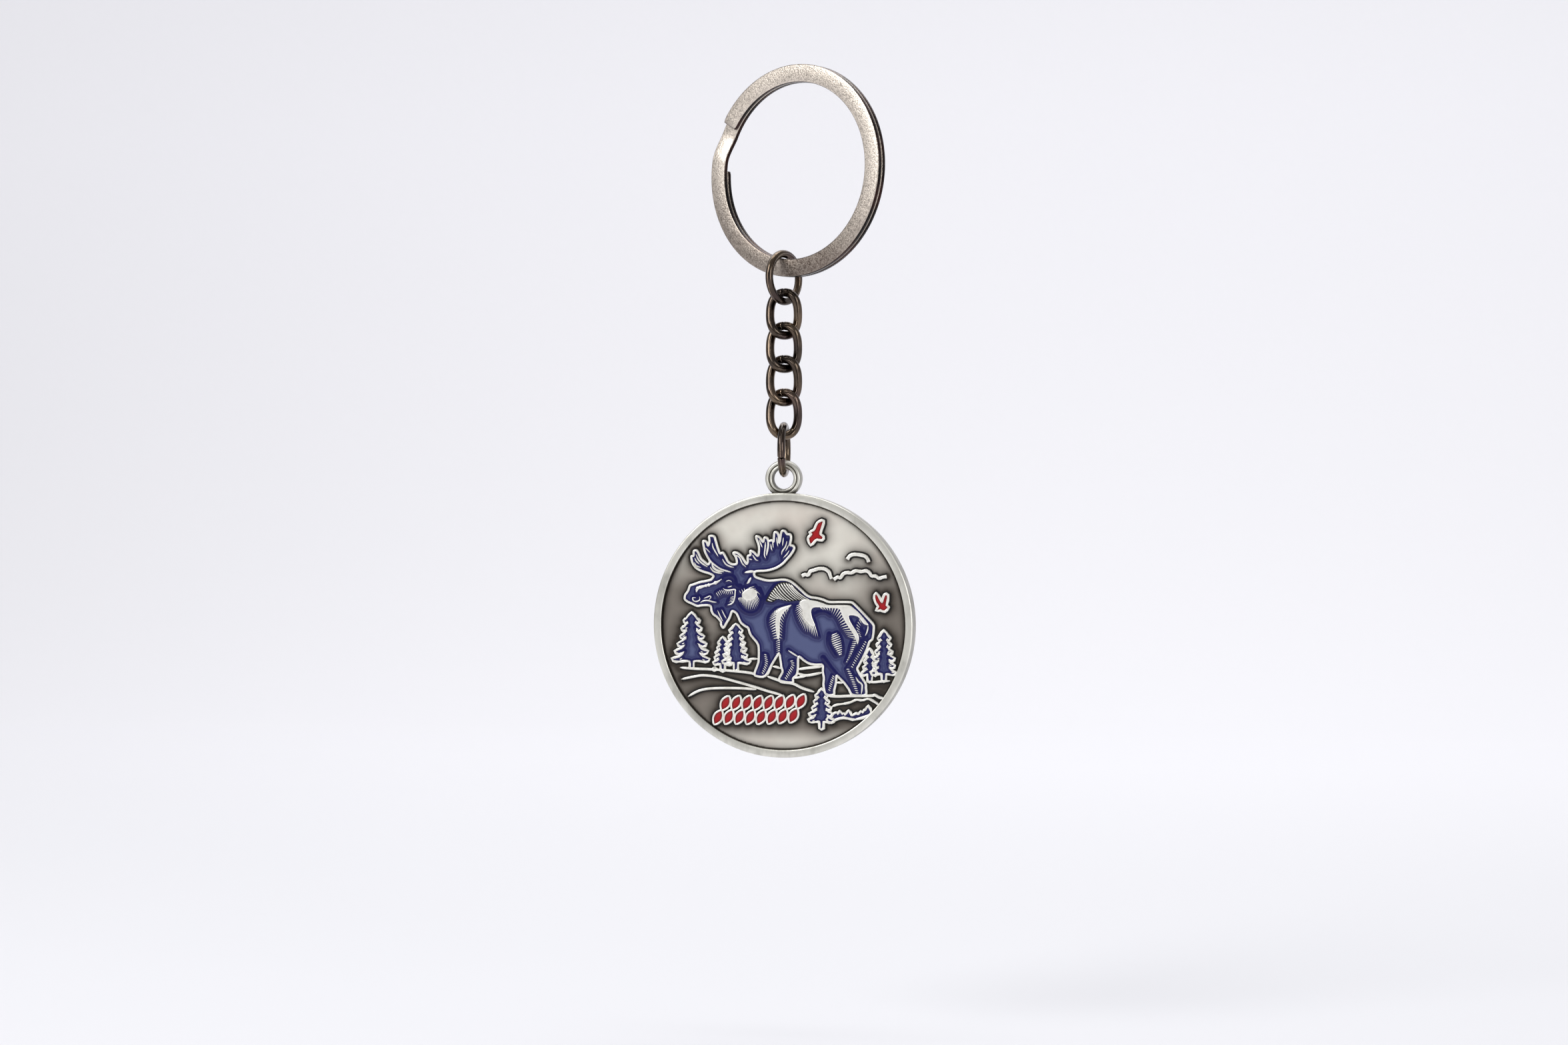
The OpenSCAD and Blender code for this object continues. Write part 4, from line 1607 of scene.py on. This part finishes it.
@dataclass(frozen=True)
class PatinaAndShadeMap:
    """Where the field is darkened, with lengths in mm and darkness from 0 to 1: antique black beside the
    relief and in the corner at the rim, and painted shade where the relief is crowded, in a broad band
    inside the rim and towards the right side.
    """

    field_r: float
    halo: float = 0.66
    halo_start: float = 0.3
    halo_fade: float = 0.5
    crowd_shade: float = 0.26
    crowd_shade_start: float = 0.2
    crowd_shade_reach: float = 1.3
    rim: float = 0.95
    rim_fade: float = 0.36
    shade: float = 0.36
    shade_fade: float = 1.9
    flank: float = 0.12
    skyline_x: ClassVar[list[float]] = [-18, -15, -4, 0, 5, 13, 18]
    skyline_y: ClassVar[list[float]] = [-5.8, -6.0, -7.0, -8.1, -9.6, -10.0, -10.3]

    def patina_and_shade(self, flat: np.ndarray, relief: Nearness) -> np.ndarray:
        """The antique black beside the relief and at the rim, with painted shade added.

        Args:
            flat: Points of the field.
            relief: The raised lines.

        Returns:
            One darkness for each point.
        """
        x, y = np.abs(flat[:, 0]), np.abs(flat[:, 1])
        beside = np.maximum(relief.distance(flat) - self.halo_start, 0)
        # painted shade: the field is darker where the relief is crowded
        crowd_shade = np.clip(relief.crowding(flat, self.crowd_shade_reach) - self.crowd_shade_start, 0, 2)
        dark = self.halo * np.exp(-beside / self.halo_fade) + self.crowd_shade * crowd_shade
        to_rim = self.field_r - np.hypot(x, y)
        dark = np.maximum(dark, self.rim * np.exp(-to_rim / self.rim_fade))
        # painted shade: a broad band inside the rim, weaker towards the top
        middle = 1 - 0.8 * np.clip((y - 8.0) / 7.0, 0, 1)
        dark += self.shade * middle * np.exp(-to_rim / self.shade_fade)
        # painted shade: the right side of the field is darker
        dark += self.flank * np.clip((x - 9.0) / 7.0, 0, 1)
        return np.clip(dark, 0, 1)

    def ground(self, flat: np.ndarray) -> np.ndarray:
        """The share of the darker ground tone below the skyline, with painted shade low in the sky and at
        both sides.

        Args:
            flat: Points of the field.

        Returns:
            One share for each point.
        """
        x, y = flat[:, 0], flat[:, 1]
        below = np.clip((np.interp(x, self.skyline_x, self.skyline_y) - y) / 0.5, 0, 1)
        # painted shade: the sky is darker towards its lower part
        low_sky_shade = np.clip((8.0 - y) / 10.0, 0, 0.8)
        # painted shade: the field is darker towards both sides
        sides = np.clip((np.abs(x) - 7.0) / 8.0, 0, 1) * np.clip((11.0 - y) / 6.0, 0, 1)
        foot = 0.75 * np.clip((-14.6 - y) / 2.0, 0, 1)
        return np.clip(np.maximum.reduce([below, low_sky_shade, sides]) * (1 - foot), 0, 1)


# ---------------------------------------------------------------- the medal


@dataclass
class Medal:
    """The medal: its disc, loop, field, relief, enamels and hatching."""

    diameter: float = 38.0
    thickness: float = 3.0
    rim_w: float = 1.15
    field_depth: float = 0.5
    back_depth: float = 0.4
    loop_hole: float = 3.0
    loop_wall: float = 1.15
    loop_t: float = 2.0
    loop_rise: float = 21.06
    field_sides: int = 240
    field_spacing: float = 0.24
    field_t: float = 0.1
    line_w: float = 0.3
    line_h: float = 0.44
    line_rounding: float = 0.42
    low_power: float = 0.12
    skirt_w: float = 0.24
    skirt_h: float = 0.07
    enamel_h: float = 0.27
    skirt_share: float = 0.9
    plateau_h: float = 0.4
    hump_lift: float = 0.09
    root_z: float = -0.05
    inner_w: float = 0.315
    inner_drop: float = 0.02
    hatch_w: float = 0.288
    hatch_drop: float = 0.03
    meniscus_h: float = 0.07
    meniscus_w: float = 0.16
    round_h: float = 0.04
    round_w: float = 0.12
    red_depth: float = 2.4
    seed: int = 7
    dice: random.Random = field(init=False)

    def __post_init__(self) -> None:
        """Reads the medal's place from the frame and starts its random numbers."""
        low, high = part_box("medal_body")
        self.dice = random.Random(self.seed)
        centre = (low + high) / 2
        self.origin = np.array([centre.x, centre.y, low.z + self.diameter / 2 * MM])
        self.floor = self.thickness / 2 - self.field_depth
        self.field_r = self.diameter / 2 - self.rim_w

    def place(self, points: np.ndarray) -> np.ndarray:
        """Moves points from the medal's frame, in mm, to the row frame, in metres."""
        z = points[:, 2] + self.floor
        return np.column_stack([points[:, 0], -z, points[:, 1]]) * MM + self.origin

    def disc(self, finish: bpy.types.Material) -> None:
        """Builds the disc with its rim, edge and sunk back.

        Args:
            finish: The plating.
        """
        r, half = self.diameter / 2, self.thickness / 2
        inner, back_floor, front_floor = self.field_r, self.back_depth - half, self.floor - 0.06
        back = [
            (0, back_floor), (inner * 0.5, back_floor), (inner - 0.35, back_floor),
            (inner - 0.12, back_floor + 0.01), (inner, back_floor - 0.08), (inner + 0.03, -half + 0.12),
            (inner + 0.1, -half + 0.03), (inner + 0.22, -half)]
        edge = [
            (r - 0.24, -half), (r - 0.1, -half + 0.04), (r - 0.03, -half + 0.11), (r, -half + 0.25),
            (r, half - 0.25), (r - 0.03, half - 0.11), (r - 0.1, half - 0.04), (r - 0.24, half)]
        front = [
            (inner + 0.55, half), (inner + 0.22, half - 0.005), (inner + 0.1, half - 0.035),
            (inner + 0.03, half - 0.12), (inner, half - 0.3), (inner - 0.02, front_floor),
            (0, front_floor)]
        points, faces = revolve(back + edge + front, 240)
        marks = {"patina_and_shade": np.zeros(len(points))}
        radius = np.hypot(points[:, 0], points[:, 1])
        deep = (points[:, 2] < half - 0.05) & (points[:, 2] > 0) & (radius < inner + 0.06)
        sunk = (points[:, 2] < 0) & (radius < inner + 0.06) & (radius > inner - 0.36)
        # painted shade: the outer edge is darkened by half
        side = (np.abs(points[:, 2]) < half - 0.2) & (radius > r - 0.02)
        marks["patina_and_shade"][side] = 0.5
        marks["patina_and_shade"][deep] = 1.0
        marks["patina_and_shade"][sunk] = 0.8
        points[:, 2] -= self.floor
        faces = outward(points, faces)
        piece = new_piece("medal_disc", self.place(points), faces, finish, marks)
        stand_in(piece, "medal", ["medal_body"])

    def loop(self, finish: bpy.types.Material) -> None:
        """Builds the loop, with a groove between its outer band and its inner ring.

        Args:
            finish: The plating.
        """
        inner, outer, half = self.loop_hole / 2, self.loop_hole / 2 + self.loop_wall, self.loop_t / 2
        front = [
            (inner, 0.0), (inner, half * 0.45), (inner + 0.06, half * 0.72), (inner + 0.17, half * 0.9),
            (inner + 0.3, half * 0.94), (inner + 0.42, half * 0.86), (inner + 0.5, half * 0.7),
            (inner + 0.56, half * 0.7), (inner + 0.62, half * 0.88), (inner + 0.72, half * 0.99),
            (inner + 0.85, half), (outer - 0.16, half * 0.93), (outer - 0.05, half * 0.76),
            (outer, half * 0.45)]
        profile = front + [(r, -z) for r, z in front[:0:-1]]
        points, faces = revolve(profile, 128)
        radius = np.hypot(points[:, 0], points[:, 1])
        groove = np.abs(radius - inner - 0.53) < 0.05
        bore = np.clip((inner + 0.12 - radius) / 0.1, 0, 1)
        # painted shade: the outer band is darkened
        band = np.clip((radius - inner - 0.9) / 0.25, 0, 1) * 0.45
        points[:, 1] += self.loop_rise
        # painted shade: the loop is darkened where it meets the disc
        foot = np.clip((self.diameter / 2 + 0.7 - points[:, 1]) / 0.6, 0, 1) * 0.85
        marks = {"patina_and_shade": np.maximum.reduce([groove * 1.0, bore * 0.9, band, foot])}
        points[:, 2] -= self.floor
        faces = outward(points, faces)
        piece = new_piece("medal_loop", self.place(points), faces, finish, marks)
        stand_in(piece, "medal")

    def art(self) -> None:
        """Draws the artwork: every line, outline and hatch."""
        self.moose = Moose()
        self.land = Landscape()
        land = self.land
        dice = self.dice
        self.inlays = [
            Inlay("moose_enamel", ANIMAL, [self.moose.outline]),
            Inlay("left_tree_enamel", TREE, [t.outline(dice) for t in land.left_trees]),
            Inlay("middle_trees_enamel", TREE, [t.outline(dice) for t in land.middle_trees]),
            Inlay("right_trees_enamel", TREE, [t.outline(dice) for t in land.right_trees]),
            Inlay("front_trees_enamel", TREE,
                  [t.outline(dice) for t in land.front_trees] + [land.shrubs]),
            Inlay("upper_bird_enamel", BIRD, [land.upper_bird]),
            Inlay("lower_bird_enamel", BIRD, [land.lower_bird]),
            Inlay("leaf_sprig_enamel", LEAF, [leaf.outline() for leaf in land.leaves()]),
        ]
        trees = land.left_trees + land.middle_trees + land.right_trees + land.front_trees
        self.outer = [line for inlay in self.inlays for line in inlay.borders()]
        self.outer += land.clouds + land.ground
        self.inner = self.moose.cross_lines + [f for t in trees for f in t.flecks(dice)]
        self.strokes = [s for h in self.moose.hatches for s in h.strokes()]
        self.plateaus = [self.moose.ruff, self.moose.spine, self.moose.haunch]

    def _with_shares(self, lines: list[Line]) -> list[tuple[np.ndarray, np.ndarray, bool]]:
        """Gives every line its path and its random roughness.

        Args:
            lines: The lines.

        Returns:
            For each line its path, its share of the nominal width, and whether it is closed.
        """
        made = []
        for line in lines:
            path = line.path()
            made.append((path, line.reach(path, self.dice), line.closed))
        return made

    def relief(self, sheet: GeometrySheet, bright: bpy.types.Material, black: bpy.types.Material) -> None:
        """Builds the raised lines, the black skirts beside them, and the hatching.

        Args:
            sheet: The sweeping tree.
            bright: The finish of the raised metal.
            black: The finish of the skirts.
        """
        outer = self._with_shares(self.outer)
        inner = self._with_shares(self.inner)
        self._sweep(sheet, "relief_lines", outer, self.line_w, self.line_h, bright)
        self._sweep(sheet, "inner_lines", inner, self.inner_w, self.line_h - self.inner_drop, bright)
        hatch = [(path, share, False) for path, share in self.strokes]
        self._sweep(sheet, "hatch_strokes", hatch, self.hatch_w, self.line_h - self.hatch_drop, bright)
        extra = 2 * self.skirt_w / self.line_w
        skirts = [
            (path, np.maximum(share, self.skirt_share) + extra, closed) for path, share, closed in outer]
        self._sweep(sheet, "relief_skirts", skirts, self.line_w, self.skirt_h, black, level=True)

    def _sweep(self, sheet: GeometrySheet, name: str, lines: list, width: float, height: float,
               finish: bpy.types.Material, level: bool = False) -> None:
        """Sweeps one set of lines and fixes it to the medal.

        Args:
            sheet: The sweeping tree.
            name: The piece's name.
            lines: Paths with their shares.
            width: The nominal width.
            height: The height above the field.
            finish: The material.
            level: Whether every bar has the same height, whatever its width.
        """
        points, faces, _ = sheet.sweep(name, lines, {
            "Width": width, "Height": 2 * height, "Rounding": min(width, height) * self.line_rounding,
            "Rounding Steps": 3, "Finish": finish})
        rings = points.reshape(sum(len(path) for path, *_ in lines), -1, 3)
        tops = np.abs(rings[:, :, 2]).max(1)
        share = np.ones(len(tops)) if level else np.clip(tops / height, 0, 1) ** self.low_power
        rings[:, :, 2] *= (height * share / tops)[:, None]
        piece = new_piece(name, self.place(points), faces, finish)
        stand_in(piece, "medal")

    def floor_piece(self, finish: bpy.types.Material) -> None:
        """Builds the field, with its darkness beside the relief and its painted shade.

        Args:
            finish: The field's finish.
        """
        turns = np.linspace(0, 2 * math.pi, self.field_sides + 1)[:-1]
        ring = np.column_stack([np.cos(turns), np.sin(turns)]) * (self.field_r - 0.01)
        points, faces, _ = Slab(ring, self.field_spacing, 0.0, -self.field_t).mesh()
        flat = points[:, :2]
        # the darkness map holds antique black and painted shade
        black = PatinaAndShadeMap(self.field_r)
        relief = Nearness([line.path() for line in self.outer])
        marks = {"patina_and_shade": black.patina_and_shade(flat, relief), "ground": black.ground(flat)}
        piece = new_piece("medal_field", self.place(points), faces, finish, marks)
        stand_in(piece, "medal")

    def enamels(self, blue: bpy.types.Material, red: bpy.types.Material) -> None:
        """Builds every enamel pool, with its meniscus.

        Args:
            blue: The blue enamel.
            red: The red enamel.
        """
        walls = [line.path() for line in self.outer + self.inner]
        walls += [path for path, _ in self.strokes]
        walls += [line.path() for line in self.moose.grooves]
        walls += [smooth_path(p, 3, closed=True) for p in self.plateaus + [self.moose.hump_base]]
        metal = Nearness(walls)
        closed = [np.vstack([line.path(), line.path()[:1]]) for line in self.outer if line.closed]
        rims = Nearness(closed)
        for inlay in self.inlays:
            kind = inlay.motif
            slabs = [Slab(smooth_path(outline, kind.steps, closed=True), kind.spacing, self.enamel_h,
                          self.root_z).mesh() for outline in inlay.outlines]
            points, faces = join_meshes(slabs)
            gap = np.minimum(metal.distance(points[:, :2]), rims.distance(points[:, :2]))
            upper = points[:, 2] > 0
            points[upper, 2] += self.meniscus_h * np.exp(-gap[upper] / self.meniscus_w)
            marks = {"gap": gap * (self.red_depth if kind.red else 1.0)}
            piece = new_piece(inlay.name, self.place(points), faces, red if kind.red else blue, marks)
            stand_in(piece, "medal", [inlay.node])

    def raised_flats(self, bright: bpy.types.Material, black: bpy.types.Material) -> None:
        """Builds the bright plateaus and the black ground of the hump's hatching.

        Args:
            bright: The finish of the raised metal.
            black: The finish between the hump's strokes.
        """
        dark_flats = [self.moose.hump_base, self.moose.back_strip]
        for name, outlines, top, finish in (
                ("plateaus", self.plateaus, self.plateau_h, bright),
                ("hump_ground", dark_flats, self.enamel_h + self.hump_lift, black)):
            slabs = []
            for outline in outlines:
                path = smooth_path(outline, 4, closed=True)
                points, faces, count = Slab(path, 0.16, top, self.root_z).mesh()
                rim = Nearness([np.vstack([path, path[:1]])], 0.05)
                inward = np.clip(rim.distance(points[:count, :2]) / self.round_w, 0, 1)
                points[:count, 2] -= self.round_h * (1 - inward) ** 2
                slabs.append((points, faces, count))
            points, faces = join_meshes(slabs)
            piece = new_piece(name, self.place(points), faces, finish)
            stand_in(piece, "medal")


# ---------------------------------------------------------------- studio


@dataclass(frozen=True)
class Lamp:
    """A soft square light: its place and side in metres, and its power in watts."""

    name: str
    where: tuple[float, float, float]
    size: float
    power: float

    def build(self, aim: Vector) -> None:
        """Adds the light.

        Args:
            aim: The point that it faces.
        """
        data = bpy.data.lights.new(self.name, "AREA")
        data.shape = "SQUARE"
        data.size = self.size
        data.energy = self.power
        lamp = bpy.data.objects.new(self.name, data)
        bpy.context.scene.collection.objects.link(lamp)
        lamp.location = self.where
        lamp.rotation_mode = "QUATERNION"
        lamp.rotation_quaternion = (aim - Vector(self.where)).to_track_quat("-Z", "Y")


@dataclass
class Studio:
    """The pale floor, the soft lights and the camera."""

    azimuth: float = 12.0
    eye_z: float = -0.0504
    aim_x: float = -0.00204
    aim_y: float = 0.00099
    distance: float = 0.42
    frame_w: float = 0.2255
    sensor_w: float = 36.0
    floor_z: float = -0.125
    floor_front: float = -1.5
    floor_depth: float = 0.6
    half_width: float = 2.5
    bend: float = 0.25
    bend_steps: int = 12
    wall_h: float = 1.4
    sky: tuple = (0.96, 0.96, 0.98, 1)
    sky_strength: float = 0.34
    lamps: ClassVar[tuple[Lamp, ...]] = (
        Lamp("key", (-0.45, -0.55, 0.45), 0.42, 3.6),
        Lamp("fill", (0.6, -0.5, 0.1), 0.4, 1.6),
        Lamp("top", (0.0, 0.1, 0.7), 0.5, 2.6),
        Lamp("wash", (0.0, 0.35, 0.5), 0.6, 1.2),
    )

    def camera(self) -> None:
        """Makes the camera: level, a little to the object's right."""
        data = bpy.data.cameras.new("camera")
        data.sensor_width = self.sensor_w
        data.lens = self.sensor_w * self.distance / self.frame_w
        data.clip_start = 0.01
        data.clip_end = 10.0
        camera = bpy.data.objects.new("camera", data)
        bpy.context.scene.collection.objects.link(camera)
        turn = math.radians(self.azimuth)
        back = Vector((math.sin(turn), -math.cos(turn), 0))
        camera.location = Vector((self.aim_x, self.aim_y, self.eye_z)) + back * self.distance
        camera.rotation_mode = "QUATERNION"
        camera.rotation_quaternion = (-back).to_track_quat("-Z", "Y")
        bpy.context.scene.camera = camera

    def backdrop(self, finish: bpy.types.Material) -> None:
        """Makes the floor, which sweeps up behind the object into a backdrop.

        Args:
            finish: The board's finish.
        """
        profile = [(self.floor_front, self.floor_z), (self.floor_depth, self.floor_z)]
        for i in range(1, self.bend_steps + 1):
            a = math.pi / 2 * i / self.bend_steps
            y = self.floor_depth + self.bend * math.sin(a)
            profile.append((y, self.floor_z + self.bend * (1 - math.cos(a))))
        profile.append((self.floor_depth + self.bend, self.floor_z + self.wall_h))
        points = [(x, y, z) for y, z in profile for x in (-self.half_width, self.half_width)]
        faces = [[2 * i, 2 * i + 1, 2 * i + 3, 2 * i + 2] for i in range(len(profile) - 1)]
        board = new_piece("studio_board", np.array(points), faces, finish)

    def lights(self) -> None:
        """Lights the object softly from above, both sides and behind the camera."""
        world = bpy.data.worlds.new("studio")
        world.use_nodes = True
        background = world.node_tree.nodes["Background"]
        background.inputs["Color"].default_value = self.sky
        background.inputs["Strength"].default_value = self.sky_strength
        bpy.context.scene.world = world
        for lamp in self.lamps:
            lamp.build(Vector((0, 0, self.eye_z)))


# ---------------------------------------------------------------- the whole


def build_wires(sheet: GeometrySheet) -> None:
    """Builds the split ring, the jump rings and the chain.

    Args:
        sheet: The sweeping tree.
    """
    wires = Wires()
    nickel = AntiqueNickel().material()
    gunmetal = Gunmetal().material()
    SplitRing().build(sheet, wires, nickel)
    JumpRing("upper_jump_ring", "top_jump_ring", "top_ring", 90 - wires.ring_turn, 20.0).build(
        sheet, wires, gunmetal)
    CurbChain().build(sheet, wires, gunmetal)
    JumpRing("medal_jump_ring", "lower_jump_ring", "lower_ring", 90 + wires.lower_turn, 200.0).build(
        sheet, wires, gunmetal)


def build_medal(sheet: GeometrySheet) -> None:
    """Builds the medal.

    Args:
        sheet: The sweeping tree.
    """
    pewter = Pewter().material()
    bright = BrightMetal().material()
    black = Blackening().material()
    blue = Enamel("blue_enamel", rgb(9, 9, 76), rgb(79, 87, 126), rgb(104, 112, 154)).material()
    red = Enamel("red_enamel", rgb(104, 0, 6), rgb(164, 6, 16), rgb(186, 46, 50)).material()
    medal = Medal()
    medal.disc(pewter)
    medal.loop(pewter)
    medal.art()
    medal.floor_piece(FieldPatinaAndShade().material())
    medal.enamels(blue, red)
    medal.raised_flats(bright, black)
    medal.relief(sheet, bright, black)


def main() -> None:
    """Builds the whole keychain and its studio."""
    logging.basicConfig(level=logging.INFO, format="%(message)s")
    bpy.context.scene.view_settings.view_transform = "Standard"
    studio = Studio()
    studio.camera()
    sheet = GeometrySheet()
    build_wires(sheet)
    build_medal(sheet)
    studio.backdrop(PaleBoard().material())
    studio.lights()


if __name__ == "__main__":
    main()
